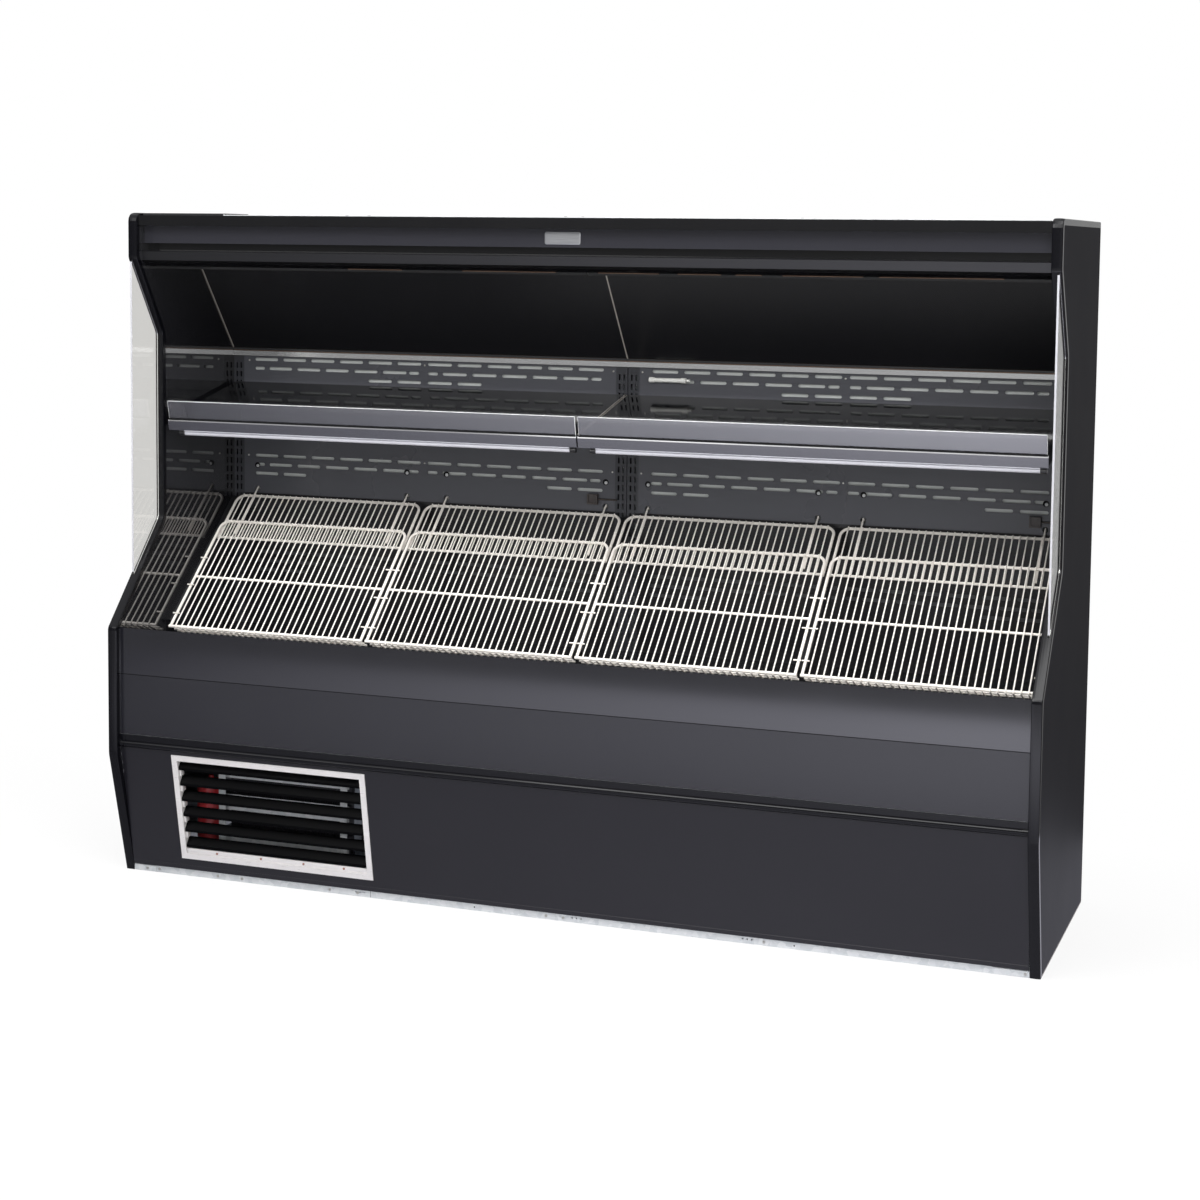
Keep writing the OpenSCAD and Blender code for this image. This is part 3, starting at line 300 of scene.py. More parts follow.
def display_paints(c):
    """Enamels and paints of the display space and of the insulated body."""
    # Band below the racks' tops where the rear panels and the sheet behind their slots are darkened as
    # painted shade
    painted_shade_band = (0, RACK_TOP)
    return {
        # Black gloss enamel on sheet steel: nearly a mirror, deep black between the reflections
        "inner": varied("black_gloss_enamel", c.inner, lighter(c.inner, 0.002), 0.06, 0.01, 400, 9, 0.004,
                        IOR=1.7),
        # Black enamel of the shelves, gloss but greyer: it mirrors the slots behind the fence
        "shelf": varied("black_shelf_enamel", linear("#0d0d0f"), linear("#111113"), 0.08, 0.01, 400, 9,
                        0.004, IOR=1.45),
        # Black enamel of the baffles, less polished: its reflections run into soft gradients
        "baffle": varied("black_satin_enamel", c.inner, lighter(c.inner, 0.002), 0.24, 0.02, 400, 2.0, 0.004,
                         IOR=1.7),
        # Grey enamel on sheet steel, semi gloss: an even mid grey above the racks' tops, and below them a
        # near black painted shade
        "ducts": zoned(varied("grey_enamel", c.ducts, lighter(c.ducts, 0.006), 0.28, 0.02, 350, 1.8, 0.01),
                       "Z", painted_shade_band, linear("#1c1b1e")),
        # Pale painted sheet seen through the slots, with a darker painted shade below the racks' tops
        "slot_back": zoned(varied("pale_duct_sheet", linear("#c3c6c4"), linear("#b4b8b6"), 0.4, 0.05, 60, 1.5,
                                  0.01), "Z", painted_shade_band, linear("#4b4c4e")),
        # Darker grey enamel of the uprights
        "uprights": varied("dark_grey_enamel", linear("#303136"), linear("#35363b"), 0.33, 0.03, 120, 1.8,
                           0.02),
        # Pale paint of the canopy's bead and the caps in the hook holes
        "pale": varied("pale_grey_paint", linear("#c9cacb"), linear("#bdbfc1"), 0.4, 0.05, 80, 1.5, 0.01),
        # Pale baked enamel of the liner, which is the case's back as well: slightly uneven
        "liner": varied("pale_baked_enamel", linear("#c6cacc"), linear("#c1c5c7"), 0.38, 0.03, 320, 1.8,
                        0.03),
    }


def plastics(c):
    """Vinyl, acrylic, rubber and moulded plastics."""
    return {
        # Extruded black vinyl, gloss: dark with sharp bright lines along its rounded edges
        "trim": varied("black_vinyl_gloss", linear("#07070b"), linear("#0b0b0f"), 0.14, 0.02, 90, 2.2, 0.004,
                       Specular_IOR_Level=0.25),
        # Moulded black plastic, fine spark texture: dull black with a soft sheen
        "plastic": varied("black_moulded_plastic", linear("#151517"), linear("#1d1d20"), 0.45, 0.06, 60, 1.2,
                          0.04),
        # Grey vinyl extrusion: an even violet grey, semi gloss
        "rail": varied("grey_vinyl_extrusion", c.rails, lighter(c.rails, 0.006), 0.14, 0.02, 140, 2.0, 0.004,
                       IOR=2.0),
        # Plastic coated wire: warm white, thick and smooth, a little darker where the coat is thin
        "wires": varied("coated_wire", c.wires, linear("#f6f2ea"), 0.3, 0.05, 40, 3.0, 0.03),
        # White moulded plastic of the thermometer
        "white": varied("white_moulded_plastic", linear("#efefeb"), linear("#e4e4df"), 0.32, 0.05, 30, 1.2,
                        0.02),
        # Dark brown moulded socket body
        "socket": varied("brown_moulded_plastic", linear("#3a3431"), linear("#463f3b"), 0.42, 0.06, 25, 1.2,
                         0.03),
        # Clear acrylic of the side panels, and the smoky gleam of the fence
        "side_glass": clear_sheet("clear_side_panel", "#dddcd9", 0.01, 1.0, IOR=1.49),
        "fence": clear_sheet("clear_fence", "#2c2d33", 0.06, 0.0, Alpha=0.6, IOR=2.3),
        # Painted highlight: near white on the sawn and polished acrylic edges of the fences
        "edge": varied("acrylic_edge_painted_highlight", linear("#eef0f2"), linear("#ffffff"), 0.2, 0.05, 40, 1.2,
                       0.01),
        # Painted highlight on the front edge of the side panels: a pale grey line, dimmed for their shade
        "side_edge": varied("side_panel_edge_painted_highlight", linear("#a9a9af"), linear("#b8b8bd"), 0.3, 0.05, 60, 1.2,
                            0.01),
        # Warm grey vinyl strip: a pale matt line on the black baffle
        "warm_strip": varied("warm_grey_vinyl_strip", linear("#a59f98"), linear("#b3ada6"), 0.4, 0.05, 60,
                             1.5, 0.02),
        # Black foamed rubber of the seams: it takes nearly all the light. It is also the painted shade under
        # the fences and in the hook holes
        "seam_rubber_and_shade": varied("black_rubber_and_painted_shade", linear("#060607"), linear("#0d0d0e"), 0.7, 0.05, 20, 0.9, 0.06,
                         Specular_IOR_Level=0.2),
    }


def metals(c):
    """Bare and coated metals, and the finishes of the machine."""
    return {
        # Zinc coated sheet with crystals of about 12 mm, drawn at 16 mm so that they show from afar
        "zinc": galvanised_steel("galvanised_sheet", 16, 0.38),
        # Folded zinc coated parts near the floor, with a paler skin
        "rail_zinc": galvanised_steel("galvanised_rail", 14, 0.42, "#dadcdd", "#c4c8ca", 0.5),
        # Bright rolled aluminium of the louvre frame, its lines along X
        "frame": brushed_metal("rolled_aluminium", linear("#d8d4d3"), 0.3, 0.7, 0.45),
        # Bright strip over the slotted panels
        "strip": brushed_metal("bright_aluminium_strip", linear("#d9dadb"), 0.24, 0.7),
        # Satin anodised plate, bare of any mark
        "plate": brushed_metal("satin_anodised_plate", linear("#8b8d92"), 0.36, 0.8),
        # Plain aluminium fins and pressed blades: pale and softly reflective
        "fins": varied("mill_aluminium", linear("#b9bdbf"), linear("#cfd2d4"), 0.38, 0.08, 30, 1.2, 0.03,
                       Metallic=1.0),
        # Copper coloured thin warm lines: dashes along the canopy's lower edge that are painted highlights,
        # and a line along the baffle's lower edge
        "copper": varied("copper_lines_and_highlights", linear("#9a7d6a"), linear("#a98b76"), 0.35, 0.06, 30, 1.2, 0.01,
                         Metallic=1.0),
        # Zinc plated pan head: small, bright and slightly yellow
        "screw": varied("zinc_plated_screw", linear("#b9b8b2"), linear("#cfcec8"), 0.32, 0.06, 8, 0.8, 0.01,
                        Metallic=1.0),
        # Rusty head of a steel rivet: a warm brown dot
        "rivet": varied("rusty_rivet", linear("#7c564a"), linear("#94695a"), 0.5, 0.08, 4, 0.7, 0.03),
        # Blackened screw head of the roof
        "dark_screw": varied("blackened_screw", linear("#141416"), linear("#1e1e20"), 0.35, 0.06, 8, 0.8,
                             0.01),
        # Black stove enamel on the compressor and motor: thick, a little dusty
        "motor": varied("black_stove_enamel", linear("#1b1c1f"), linear("#2f3033"), 0.34, 0.08, 45, 1.6,
                        0.06),
        # Red gloss paint on the steel tank, lightly dulled by dust
        "tank": varied("red_gloss_paint", c.tank, lighter(c.tank, 0.06), 0.22, 0.08, 40, 2.0, 0.03),
        # Black coated fins of the condenser: dull, with grey dust held between them
        "condenser": varied("dusty_black_fins", linear("#17171a"), linear("#34343a"), 0.5, 0.1, 25, 1.0,
                            0.05),
    }


def lamp_tubes():
    """The canopy's lamp, which is two tubes end to end, and the shelves' lamps, with their dark holders."""
    holder, joint = 16, 22
    low, high = (corner.x for corner in reach("canopy_lamp"))
    made = {"canopy_lamp": lamp_tube("canopy_lamp_tube",
                                     [(low, low + holder), (-joint, joint), (high - holder, high)], 1.2)}
    for side in ("left", "right"):
        low, high = (corner.x for corner in reach("shelf_lamp_" + side))
        made["shelf_lamp_" + side] = lamp_tube("shelf_lamp_tube_" + side,
                                               [(low, low + holder), (high - holder, high)], 0.02)
    return made


NODE_FINISHES = {
    "base_frame": "rail_zinc", "base_pan": "zinc", "rear_grille": "zinc", "top_panel": "zinc",
    "tub": "liner", "rear_wall": "liner", "roof_cover": "plastic", "end_panel_left": "ends",
    "end_panel_right": "ends",
    "end_trim_left": "trim", "end_trim_right": "trim", "end_glass_left": "side_glass",
    "end_glass_right": "side_glass", "canopy_front": "canopy", "canopy_lamp": "canopy_lamp",
    "air_outlet": "white", "upper_baffle_left": "baffle", "upper_baffle_right": "baffle", "duct_cap": "strip",
    "duct_panel_left": "ducts", "duct_panel_right": "ducts", "shelf_uprights": "uprights",
    "shelf_left": "shelf", "shelf_right": "shelf", "shelf_brackets_left": "uprights",
    "shelf_brackets_right": "uprights", "shelf_fence_left": "fence", "shelf_fence_right": "fence",
    "price_rail_left": "rail", "price_rail_right": "rail", "shelf_lamp_left": "shelf_lamp_left",
    "shelf_lamp_right": "shelf_lamp_right", "front_lip": "lip", "front_panel_upper": "front",
    "bumper_rail": "trim", "front_panel_lower": "lower", "louvre_frame": "frame", "louvre_blades": "blades",
    "rack_supports": "plastic", "deck_pan": "inner", "thermometer": "white", "light_sockets": "socket",
    "evaporator_coil": "fins", "fan_panel": "zinc", "evaporator_fan_left": "plastic",
    "evaporator_fan_right": "plastic", "condenser_coil": "condenser", "condenser_shroud": "zinc",
    "condenser_motor": "motor", "condenser_fan": "fins", "compressor": "motor", "receiver_tank": "tank",
}
NODE_FINISHES.update({f"rack_{row}_{bay}": "wires"
                      for row in ("rear", "front") for bay in range(1, 5)})
FINISHES = {}


# Modelling
def clear_selection():
    """Leaves edit mode and deselects everything."""
    if bpy.context.object and bpy.context.object.mode != "OBJECT":
        bpy.ops.object.mode_set(mode="OBJECT")
    bpy.ops.object.select_all(action="DESELECT")


def start_edit(piece, kind="FACE"):
    """Opens a piece for editing with nothing selected, and returns its editable mesh."""
    clear_selection()
    piece.select_set(True)
    bpy.context.view_layer.objects.active = piece
    bpy.ops.object.mode_set(mode="EDIT")
    bpy.ops.mesh.select_mode(type=kind)
    bpy.ops.mesh.select_all(action="DESELECT")
    return bmesh.from_edit_mesh(piece.data)


def pick(piece, items, test):
    """Selects the faces or edges that pass the test, and only those."""
    found = [item for item in items if test(item)]
    if not found:
        raise RuntimeError("nothing to select on " + piece.name)
    bpy.ops.mesh.select_all(action="DESELECT")
    for item in found:
        item.select_set(True)
    bmesh.update_edit_mesh(piece.data)


def finish_edit(angle=30):
    """Leaves edit mode and shades the piece smooth up to the angle in degrees."""
    bpy.ops.object.mode_set(mode="OBJECT")
    bpy.ops.object.transform_apply(location=True, rotation=True, scale=True)
    bpy.ops.object.shade_smooth_by_angle(angle=math.radians(angle))


def rounded(piece, radius, segments, test):
    """Bevels the edges that pass the test."""
    mesh = start_edit(piece, "EDGE")
    pick(piece, mesh.edges, test)
    bpy.ops.mesh.bevel(offset=radius * MM, segments=segments, profile=0.5, affect="EDGES")
    finish_edit()


def slab(low, high, radius, sheet=None, segments=1, test=lambda edge: True):
    """A flat bar between two corners in millimetres, with the edges that pass the test rounded. On a leaning
    sheet the corners are measured from the sheet's pivot, and the bar leans with it."""
    clear_selection()
    low, high = Vector(low) * MM, Vector(high) * MM
    bpy.ops.mesh.primitive_cube_add(size=1, location=(low + high) / 2, scale=high - low)
    piece = bpy.context.object
    bpy.ops.object.transform_apply(location=True, rotation=True, scale=True)
    rounded(piece, radius, segments, test)
    if sheet:
        turn, pivot = sheet
        piece.data.transform(Matrix.Translation(pivot * MM) @ Matrix.Rotation(turn, 4, "X"))
    return piece


def along(edge, axis):
    """Whether an edge runs along an axis."""
    run = (edge.verts[1].co - edge.verts[0].co).normalized()
    return abs(run.dot(axis)) > 0.99


def joined(pieces):
    """Joins pieces into the first one."""
    clear_selection()
    for piece in pieces:
        piece.select_set(True)
    bpy.context.view_layer.objects.active = pieces[0]
    bpy.ops.object.join()
    return bpy.context.object


def copies(piece, places):
    """Copies of a piece with their own meshes at all the places, joined. The first piece is removed."""
    made = []
    for place in places:
        twin = piece.copy()
        twin.data = piece.data.copy()
        twin.data.transform(place)
        bpy.context.scene.collection.objects.link(twin)
        made.append(twin)
    bpy.data.objects.remove(piece)
    return joined(made)


def settle(piece, name, body, finish):
    """Names a piece, gives it its finish and hands it to the body that carries it."""
    piece.name = piece.data.name = name
    piece.data.materials.clear()
    piece.data.materials.append(FINISHES[finish])
    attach(piece, body)


# Turns a head that faces up to face the front, and to stand square on the leaning lower panel
FRONT = Matrix.Rotation(math.radians(90), 4, "X")
LOWER_FRONT = Matrix.Rotation(LOWER_PANEL[0], 4, "X") @ FRONT


def head(diameter, height, recess):
    """A head at the origin, facing up: a disc with a rounded edge and, on a screw, a square recess."""
    clear_selection()
    bpy.ops.mesh.primitive_cylinder_add(vertices=16, radius=diameter / 2 * MM, depth=height * MM,
                                        location=(0, 0, height / 2 * MM))
    disc = bpy.context.object
    bpy.ops.object.transform_apply(location=True, rotation=True, scale=True)
    mesh = start_edit(disc)
    pick(disc, mesh.faces, lambda face: face.normal.z > 0.9)
    bpy.ops.mesh.inset(thickness=diameter * 0.12 * MM, depth=height * 0.16 * MM)
    if recess:
        bpy.ops.mesh.inset(thickness=diameter * 0.2 * MM, depth=0)
        bpy.ops.mesh.inset(thickness=diameter * 0.03 * MM, depth=-height * 0.4 * MM)
    finish_edit(40)
    return disc


def heads(piece, facing, places):
    """Copies of a head at places in millimetres, all facing the same way."""
    return copies(piece, [Matrix.Translation(Vector(place) * MM) @ facing for place in places])


def on_sheet(sheet, x, y, z):
    """The place in millimetres of a point measured on a leaning sheet."""
    turn, pivot = sheet
    return pivot + Matrix.Rotation(turn, 3, "X") @ Vector((x, y, z))


class CASE_OT_stage(bpy.types.Operator):
    """Adds the pale floor, the soft studio light, the white surroundings and the camera"""
    bl_idname = "case.stage"
    bl_label = "Stage"

    def execute(self, context):
        scene = context.scene
        scene.view_settings.view_transform = "Standard"
        self.camera(scene)
        self.floor()
        self.surroundings(scene)
        self.lamps(scene)
        return {"FINISHED"}

    def camera(self, scene):
        """The camera of the photograph: its lens is shifted, so that upright edges run nearly parallel."""
        stage = scene.case_stage
        data = bpy.data.cameras.new("camera")
        data.lens = stage.lens
        data.sensor_fit = "HORIZONTAL"
        data.sensor_width = 36
        data.shift_y = stage.shift
        camera = bpy.data.objects.new("camera", data)
        scene.collection.objects.link(camera)
        camera.matrix_world = (Matrix.Translation(stage.place) @ Matrix.Rotation(stage.turn, 4, "Z")
                               @ Matrix.Rotation(math.pi / 2 - stage.dip, 4, "X")
                               @ Matrix.Rotation(stage.tilt, 4, "Z"))
        scene.camera = camera

    def lamps(self, scene):
        """Three soft boxes: a key from the front left, a fill from the right and one overhead. Each has its
        place, its target and its size in metres, and its power in watts."""
        for name, place, target, size, power in (
                ("key", (-2.6, -4.4, 3.6), (0, 0, 0.9), (3.0, 2.0), 45),
                ("fill", (3.2, -4.6, 2.4), (0.3, 0, 0.9), (2.4, 2.4), 70),
                ("top", (0.2, -2.2, 3.6), (0, 0, 0.9), (3.6, 2.2), 145)):
            data = bpy.data.lights.new(name, "AREA")
            data.shape = "RECTANGLE"
            data.size, data.size_y = size
            data.energy = power
            lamp = bpy.data.objects.new(name, data)
            scene.collection.objects.link(lamp)
            look = Vector(target) - Vector(place)
            turn = look.to_track_quat("-Z", "Y").to_matrix().to_4x4()
            lamp.matrix_world = Matrix.Translation(place) @ turn

    def floor(self):
        """Matt pale vinyl. For the camera it is nearly white and turns plain white at its edges, and the rest
        of the light keeps the shadow. In the gloss of the case it is brightest in front and to the right."""
        clear_selection()
        bpy.ops.mesh.primitive_plane_add(size=1, location=(0.1, -1.15, -0.0005))
        floor = bpy.context.object
        floor.scale = (6.6, 4.3, 1)
        bpy.ops.object.transform_apply(location=True, rotation=True, scale=True)
        floor.name = "floor"
        material = bpy.data.materials.new("matt_pale_floor")
        material.use_nodes = True
        tree = material.node_tree
        tree.nodes.clear()
        path = add(tree, "ShaderNodeLightPath")
        at = add(tree, "ShaderNodeSeparateXYZ", {"Vector": add(tree, "ShaderNodeTexCoord").outputs["Object"]})

        # Share of plain white for the camera: 0.86 round the case and 1 from a few metres off
        off = []
        for axis, middle, near, far in (("X", 0.1, 1.8, 3.2), ("Y", -0.9, 0.9, 1.85)):
            away = add(tree, "ShaderNodeMath", {0: at.outputs[axis], 1: middle}, operation="SUBTRACT")
            size = add(tree, "ShaderNodeMath", {0: away.outputs[0]}, operation="ABSOLUTE")
            off.append(add(tree, "ShaderNodeMapRange", {"Value": size.outputs[0], "From Min": near,
                                                        "From Max": far}).outputs[0])
        edge = add(tree, "ShaderNodeMath", {0: off[0], 1: off[1]}, operation="MAXIMUM")
        share = add(tree, "ShaderNodeMapRange", {"Value": edge.outputs[0], "To Min": 0.86, "To Max": 1.0})
        part = add(tree, "ShaderNodeMath", {0: path.outputs["Is Camera Ray"], 1: share.outputs[0]},
                   operation="MULTIPLY")

        # Brightness in gloss: it grows ahead of the case and toward its right end
        ahead = add(tree, "ShaderNodeMapRange", {"Value": at.outputs["Y"], "From Min": -1.6, "From Max": -2.9,
                                                 "To Min": 0.2, "To Max": 1.0})
        right = add(tree, "ShaderNodeMapRange", {"Value": at.outputs["X"], "From Min": -2.9, "From Max": 0.6,
                                                 "To Min": 0.6, "To Max": 4.2})
        gleam = add(tree, "ShaderNodeMath", {0: ahead.outputs[0], 1: right.outputs[0]}, operation="MULTIPLY")

        matt = add(tree, "ShaderNodeBsdfDiffuse", {"Color": linear("#f0f0f0")})
        white = add(tree, "ShaderNodeEmission", {"Color": linear("#ffffff"), "Strength": 1.0})
        shine = add(tree, "ShaderNodeEmission", {"Color": linear("#f2f2ff"), "Strength": gleam.outputs[0]})
        seen = add(tree, "ShaderNodeMixShader", {0: part.outputs[0], 1: matt.outputs[0], 2: white.outputs[0]})
        mix = add(tree, "ShaderNodeMixShader", {0: path.outputs["Is Glossy Ray"], 1: seen.outputs[0],
                                                2: shine.outputs[0]})
        add(tree, "ShaderNodeOutputMaterial", {"Surface": mix.outputs[0]})
        floor.data.materials.append(material)

    def surroundings(self, scene):
        """White for the camera and through clear sheets. In gloss the studio is bright in front, less so to
        the left, bright overhead and dark behind the case but for a patch straight behind."""
        world = bpy.data.worlds.new("studio")
        scene.world = world
        world.use_nodes = True
        tree = world.node_tree
        tree.nodes.clear()
        path = add(tree, "ShaderNodeLightPath")
        way = add(tree, "ShaderNodeSeparateXYZ",
                  {"Vector": add(tree, "ShaderNodeTexCoord").outputs["Generated"]})

        # Brightness in gloss, from the direction that the reflected light comes from
        front = add(tree, "ShaderNodeMapRange", {"Value": way.outputs["Y"], "From Min": -0.2,
                                                 "From Max": -0.8})
        side = add(tree, "ShaderNodeMapRange", {"Value": way.outputs["X"], "From Min": -0.65,
                                                "From Max": -0.05, "To Min": 0.45, "To Max": 1.05})
        low = add(tree, "ShaderNodeMapRange", {"Value": way.outputs["Z"], "From Min": -0.15,
                                               "From Max": -0.05, "To Min": 0.8, "To Max": 0.35})
        top = add(tree, "ShaderNodeMapRange", {"Value": way.outputs["Z"], "From Min": 0.35, "From Max": 0.8})
        behind = add(tree, "ShaderNodeMapRange", {"Value": way.outputs["Y"], "From Min": 0.96,
                                                  "From Max": 0.98, "To Min": 0.12, "To Max": 0.5})
        wide = add(tree, "ShaderNodeMath", {0: front.outputs[0], 1: side.outputs[0]}, operation="MULTIPLY")
        ahead = add(tree, "ShaderNodeMath", {0: wide.outputs[0], 1: low.outputs[0]}, operation="MULTIPLY")
        most = add(tree, "ShaderNodeMath", {0: ahead.outputs[0], 1: top.outputs[0]}, operation="MAXIMUM")
        glossy = add(tree, "ShaderNodeMath", {0: most.outputs[0], 1: behind.outputs[0]}, operation="MAXIMUM")

        seen = add(tree, "ShaderNodeMath", {0: path.outputs["Is Camera Ray"],
                                            1: path.outputs["Is Transmission Ray"]}, operation="MAXIMUM")
        shine = add(tree, "ShaderNodeMix", {0: path.outputs["Is Glossy Ray"], 2: 0.75, 3: glossy.outputs[0]})
        level = add(tree, "ShaderNodeMix", {0: seen.outputs[0], 2: shine.outputs[0], 3: 1.0})
        back = add(tree, "ShaderNodeBackground", {"Color": linear("#ffffff"), "Strength": level.outputs[0]})
        add(tree, "ShaderNodeOutputWorld", {"Surface": back.outputs[0]})


class CASE_OT_finishes(bpy.types.Operator):
    """Gives every CAD node its finish"""
    bl_idname = "case.finishes"
    bl_label = "Finishes"

    def execute(self, context):
        colours = context.scene.case_colours
        FINISHES.update({**front_paints(colours), **display_paints(colours), **plastics(colours),
                         **metals(colours), **lamp_tubes()})
        left = sorted(set(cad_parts) - set(NODE_FINISHES))
        if left:
            raise RuntimeError("no finish for " + ", ".join(left))
        for node, finish in NODE_FINISHES.items():
            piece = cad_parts[node]
            if not piece.material_slots:
                piece.data.materials.append(None)
            for place in piece.material_slots:
                place.material = FINISHES[finish]
        return {"FINISHED"}


class CASE_OT_canopy(bpy.types.Operator):
    """Adds the blank plate on the fascia, the canopy's bead, painted highlights along its lower edge, and the
    roof's screws
    """
    bl_idname = "case.canopy"
    bl_label = "Canopy fittings"

    def execute(self, context):
        front, roof = reach("canopy_front")
        self.plate(context.scene.case_fittings)
        start, end = reach("roof_cover")[1].x + 3, roof.x - 3
        bead = slab((start, front.y + 4, roof.z), (end, front.y + 7, roof.z + 2.5), 0.8)
        settle(bead, "canopy_bead", "case", "pale")
        # Copper dashes along the canopy's lower edge: painted highlights
        bare = ((-620, -465), (-292, -36), (79, 240), (290, 402), (440, 506), (560, 760), (800, 1100))
        edges = [slab((start, -200.8, front.z - 1.4), (end, -199, front.z), 0.4) for start, end in bare]
        settle(joined(edges), "canopy_lower_edge", "case", "copper")
        screws = ((-604, -238), (-543, -232), (5, -238), (49, -232), (617, -238), (647, -232))
        settle(heads(head(8, 3, False), Matrix.Identity(4), [(x, y, roof.z) for x, y in screws]),
               "roof_screws", "case", "dark_screw")
        return {"FINISHED"}

    def plate(self, sizes):
        """The bare plate on the fascia, with round corners, a raised rim and a flat middle."""
        x, fascia, z = -8, -223, 1733
        half = Vector((sizes.plate_width, 0, sizes.plate_height)) / MM / 2
        low, high = Vector((x, fascia - 2.2, z)) - half, Vector((x, fascia, z)) + half
        plate = slab(low, high, 5, segments=4, test=lambda edge: along(edge, Y))
        mesh = start_edit(plate)
        pick(plate, mesh.faces, lambda face: face.normal.y < -0.9)
        bpy.ops.mesh.inset(thickness=1.2 * MM, depth=0.5 * MM)
        bpy.ops.mesh.inset(thickness=2.2 * MM, depth=0)
        bpy.ops.mesh.inset(thickness=0.6 * MM, depth=-0.6 * MM)
        finish_edit()
        settle(plate, "fascia_plate", "case", "plate")


class CASE_OT_cover_strips(bpy.types.Operator):
    """Adds the strips on the joint and in the corners of the upper baffle, and the edge under it"""
    bl_idname = "case.cover_strips"
    bl_label = "Cover strips"

    def execute(self, context):
        half = context.scene.case_fittings.strip / MM / 2
        low, high = reach("upper_baffle_right")
        run = math.hypot(BAFFLE_DEPTH, BAFFLE_DROP) - 2
        outer, inner = high.x - 0.5, high.x - 3.3
        for name, start, end in (("baffle_joint_strip", -half, half),
                                 ("baffle_corner_strip_left", -outer, -inner),
                                 ("baffle_corner_strip_right", inner, outer)):
            strip = slab((start, 0, -1.4), (end, run, 0), 0.5, BAFFLE, test=lambda edge: not along(edge, X))
            settle(strip, name, "case", "warm_strip")
        edge = slab((2 - high.x, high.y - 4.3, low.z + 0.7), (high.x - 2, high.y - 1.7, low.z + 2.7), 0.6)
        settle(edge, "baffle_edge", "case", "copper")
        return {"FINISHED"}


class CASE_OT_rear_panels(bpy.types.Operator):
    """Adds the pale sheet behind the slots, the rear panels' screws, and the hook holes: black discs of
    painted shadow with pale caps
    """
    bl_idname = "case.rear_panels"
    bl_label = "Rear panel fittings"

    def execute(self, context):
        panels = [reach("duct_panel_left"), reach("duct_panel_right")]
        face = panels[0][0].y
        slot_rows, row_height = (1310, 1030, 750), 75
        backs = [slab((low.x + 2, face + 6, z), (high.x - 2, face + 7, z + row_height), 0.4)
                 for low, high in panels for z in slot_rows]
        settle(joined(backs), "slot_backs", "case", "slot_back")
        screws = [(side * x, face, z) for side in (-1, 1)
                  for x, z in ((42, 1372), (609, 1372), (1168, 1372), (42, 1095), (608, 1095), (1171, 1095))]
        settle(heads(head(5, 1.6, True), FRONT, screws), "rear_panel_screws", "case", "screw")
        hooks = [side * x for side in (-1, 1) for x in HOOKS]
        # Black discs in the hook holes, with their pale caps set off to the lower right: the black crescent
        # left showing is a painted shadow
        hole_shadows = heads(head(17, 0.5, False), FRONT, [(x, face, 1066) for x in hooks])
        settle(hole_shadows, "hook_hole_shadows", "case", "seam_rubber_and_shade")
        caps = heads(head(9, 1.6, False), FRONT, [(x + 1.5, face - 0.6, 1064.5) for x in hooks])
        settle(caps, "hook_hole_caps", "case", "pale")
        return {"FINISHED"}


class CASE_OT_shelf_edges(bpy.types.Operator):
    """Adds the fences' edges as painted highlights, a dark bead under each fence as painted shade, and bright
    shelf edges
    """
    bl_idname = "case.shelf_edges"
    bl_label = "Shelf edges"

    def execute(self, context):
        for side in ("left", "right"):
            unit = "shelf_unit_" + side
            start, end = (corner.x for corner in reach("shelf_fence_" + side))
            # The fence's top and end edges, which carry a near white painted highlight
            bars = [((start, FENCE_FRONT, FENCE_HEIGHT), (end, FENCE_BACK, FENCE_HEIGHT + 0.6)),
                    ((start - 0.6, FENCE_FRONT, 0), (start, FENCE_BACK, FENCE_HEIGHT)),
                    ((end, FENCE_FRONT, 0), (end + 0.6, FENCE_BACK, FENCE_HEIGHT))]
            edges = joined([slab(low, high, 0.2, SHELF) for low, high in bars])
            settle(edges, "fence_edge_highlights_" + side, unit, "edge")
            # A black bead along the rail's top under the fence: painted shade at the fence's foot
            bead = slab((start - 1, FENCE_FRONT - 5.2, -0.8), (end + 1, FENCE_FRONT - 0.4, 1.6), 0.5, SHELF)
            settle(bead, "fence_foot_shade_" + side, unit, "seam_rubber_and_shade")
            outer, inner = (corner.x for corner in reach("shelf_" + side))
            x = inner - 2 if side == "left" else outer
            line = slab((x, -388, 0), (x + 2, -14, 0.8), 0.3, SHELF)
            settle(line, "shelf_edge_line_" + side, unit, "warm_strip")
        return {"FINISHED"}


class CASE_OT_louvre(bpy.types.Operator):
    """Adds the louvre's rivets, its sill and side clips, and the bright bars between the posts behind it"""
    bl_idname = "case.louvre"
    bl_label = "Louvre fittings"

    def execute(self, context):
        left, right = (corner.x for corner in reach("louvre_blades"))
        sill = slab((left + 1, 0.4, -293.8), (right - 1, 3, -279.5), 0.8, LOWER_PANEL, 2)
        settle(sill, "louvre_sill", "service_panel", "frame")
        clips = [slab((left + 0.4, 3.5, z - 9), (left + 6, 20, z + 9), 1.2, LOWER_PANEL, 2)
                 for z in (-62.7, -107.3, -152, -196.6, -241.3)]
        settle(joined(clips), "louvre_clips", "service_panel", "frame")
        rivets = [on_sheet(LOWER_PANEL, x, 0.4, -286.5) for x in (-955, -822, -695, -576)]
        settle(heads(head(context.scene.case_fittings.rivet / MM, 1.6, False), LOWER_FRONT, rivets),
               "louvre_rivets", "service_panel", "rivet")
        bars = [slab((-968, -261.8, z - 21.5), (-584, -260.3, z + 21.5), 0.5) for z in (119, 207.5, 295.5)]
        settle(joined(bars), "post_bars", "case", "rail_zinc")
        return {"FINISHED"}


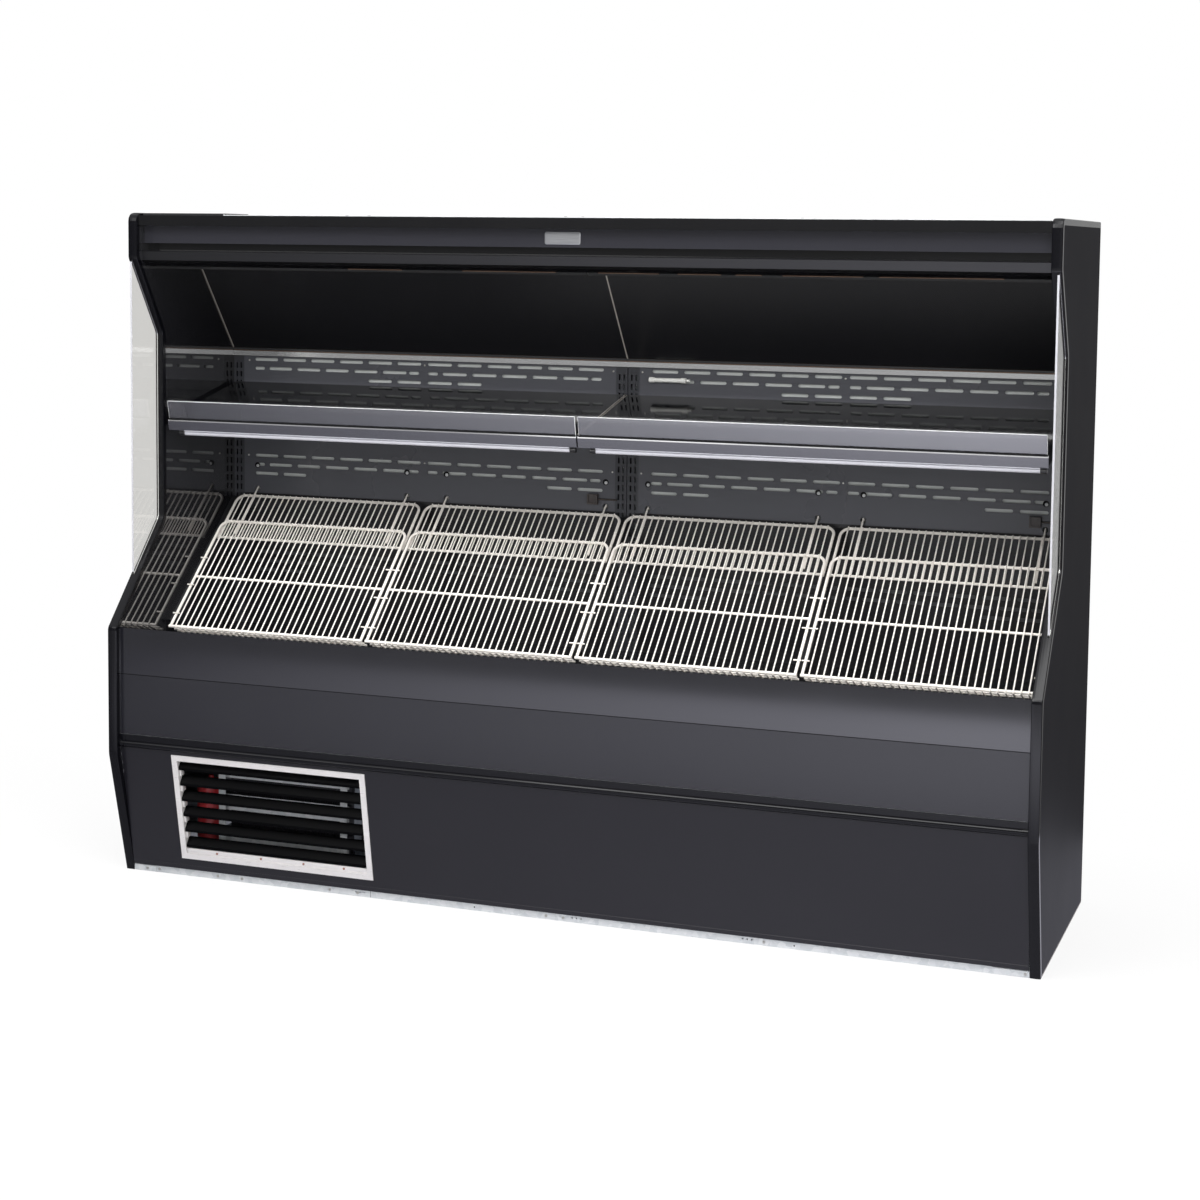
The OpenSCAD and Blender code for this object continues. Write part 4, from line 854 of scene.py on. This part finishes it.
class CASE_OT_front(bpy.types.Operator):
    """Adds the seam under the lip, the lower panel's hem, and the floor rail's end plates and screws"""
    bl_idname = "case.front"
    bl_label = "Front seams and rail fittings"

    def execute(self, context):
        lip, upper, lower = reach("front_lip"), reach("front_panel_upper"), reach("front_panel_lower")
        left, right, face = lip[0].x, lip[1].x, upper[0].y
        seam = slab((left, face + 0.2, upper[1].z - 0.2), (right, face + 1.4, lip[0].z + 0.2), 0.4)
        settle(seam, "front_seam", "case", "seam_rubber_and_shade")
        hem = slab((lower[0].x, -0.6, -342.6), (lower[1].x, 0.4, -330.6), 0.3, LOWER_PANEL)
        settle(hem, "lower_panel_hem", "service_panel", "lower")
        ends = [slab((start, RAIL_PLATES, 1), (end, RAIL_FACE, 17), 0.7)
                for start, end in ((left, -1150), (1130, right))]
        settle(joined(ends), "floor_rail_ends", "case", "rail_zinc")
        screws = [(x, RAIL_FACE, RAIL_SCREWS) for x in (-1142, -961, -888, -625, -543, -10, 37, 567)]
        screws += [(x, RAIL_PLATES, RAIL_SCREWS) for x in (-1178, 1209)]
        settle(heads(head(context.scene.case_fittings.screw / MM, 2, True), FRONT, screws),
               "floor_rail_screws", "case", "screw")
        holes = heads(head(4, 0.3, False), FRONT, [(x, RAIL_FACE, RAIL_SCREWS) for x in (-209, 644)])
        joint = slab((-506.5, RAIL_FACE - 0.3, 1), (-505.5, RAIL_FACE, 18), 0.1)
        settle(joined([holes, joint]), "floor_rail_holes_and_joint", "case", "seam_rubber_and_shade")
        return {"FINISHED"}


class CASE_OT_side_edges(bpy.types.Operator):
    """Adds the front edges of the clear side panels, pale grey as painted highlights"""
    bl_idname = "case.side_edges"
    bl_label = "Side panel edges"

    def execute(self, context):
        for side in ("left", "right"):
            low, high = reach("end_glass_" + side)
            # A pale strip along the panel's front edge: a painted highlight
            edge = slab((low.x, low.y - 0.6, low.z + 6), (high.x, low.y, high.z - 6), 0.25)
            settle(edge, "side_panel_edge_" + side, "case", "side_edge")
        return {"FINISHED"}


class CASE_PT_panel(bpy.types.Panel):
    """Lists the operators of the display case"""
    bl_idname = "CASE_PT_panel"
    bl_label = "Display Case"
    bl_space_type = "VIEW_3D"
    bl_region_type = "UI"
    bl_category = "Display Case"

    def draw(self, context):
        for group in GROUPS:
            box = self.layout.box()
            owner = getattr(context.scene, group)
            for key in owner.__annotations__:
                box.prop(owner, key)
        for operator in OPERATORS:
            self.layout.operator(operator.bl_idname)


GROUPS = {"case_colours": CaseColours, "case_fittings": CaseFittings, "case_stage": CaseStage}
OPERATORS = (CASE_OT_stage, CASE_OT_finishes, CASE_OT_canopy, CASE_OT_cover_strips, CASE_OT_rear_panels,
             CASE_OT_shelf_edges, CASE_OT_louvre, CASE_OT_front, CASE_OT_side_edges)


def register():
    """Registers the classes and gives the scene its groups of settings."""
    for group, kind in GROUPS.items():
        bpy.utils.register_class(kind)
        setattr(bpy.types.Scene, group, bpy.props.PointerProperty(type=kind))
    for kind in OPERATORS + (CASE_PT_panel,):
        bpy.utils.register_class(kind)


def unregister():
    """Takes back what register did."""
    for kind in (CASE_PT_panel,) + OPERATORS[::-1]:
        bpy.utils.unregister_class(kind)
    for group, kind in GROUPS.items():
        delattr(bpy.types.Scene, group)
        bpy.utils.unregister_class(kind)


def main():
    """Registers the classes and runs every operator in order."""
    register()
    bpy.ops.case.stage()
    bpy.ops.case.finishes()
    bpy.ops.case.canopy()
    bpy.ops.case.cover_strips()
    bpy.ops.case.rear_panels()
    bpy.ops.case.shelf_edges()
    bpy.ops.case.louvre()
    bpy.ops.case.front()
    bpy.ops.case.side_edges()


if __name__ == "__main__":
    main()
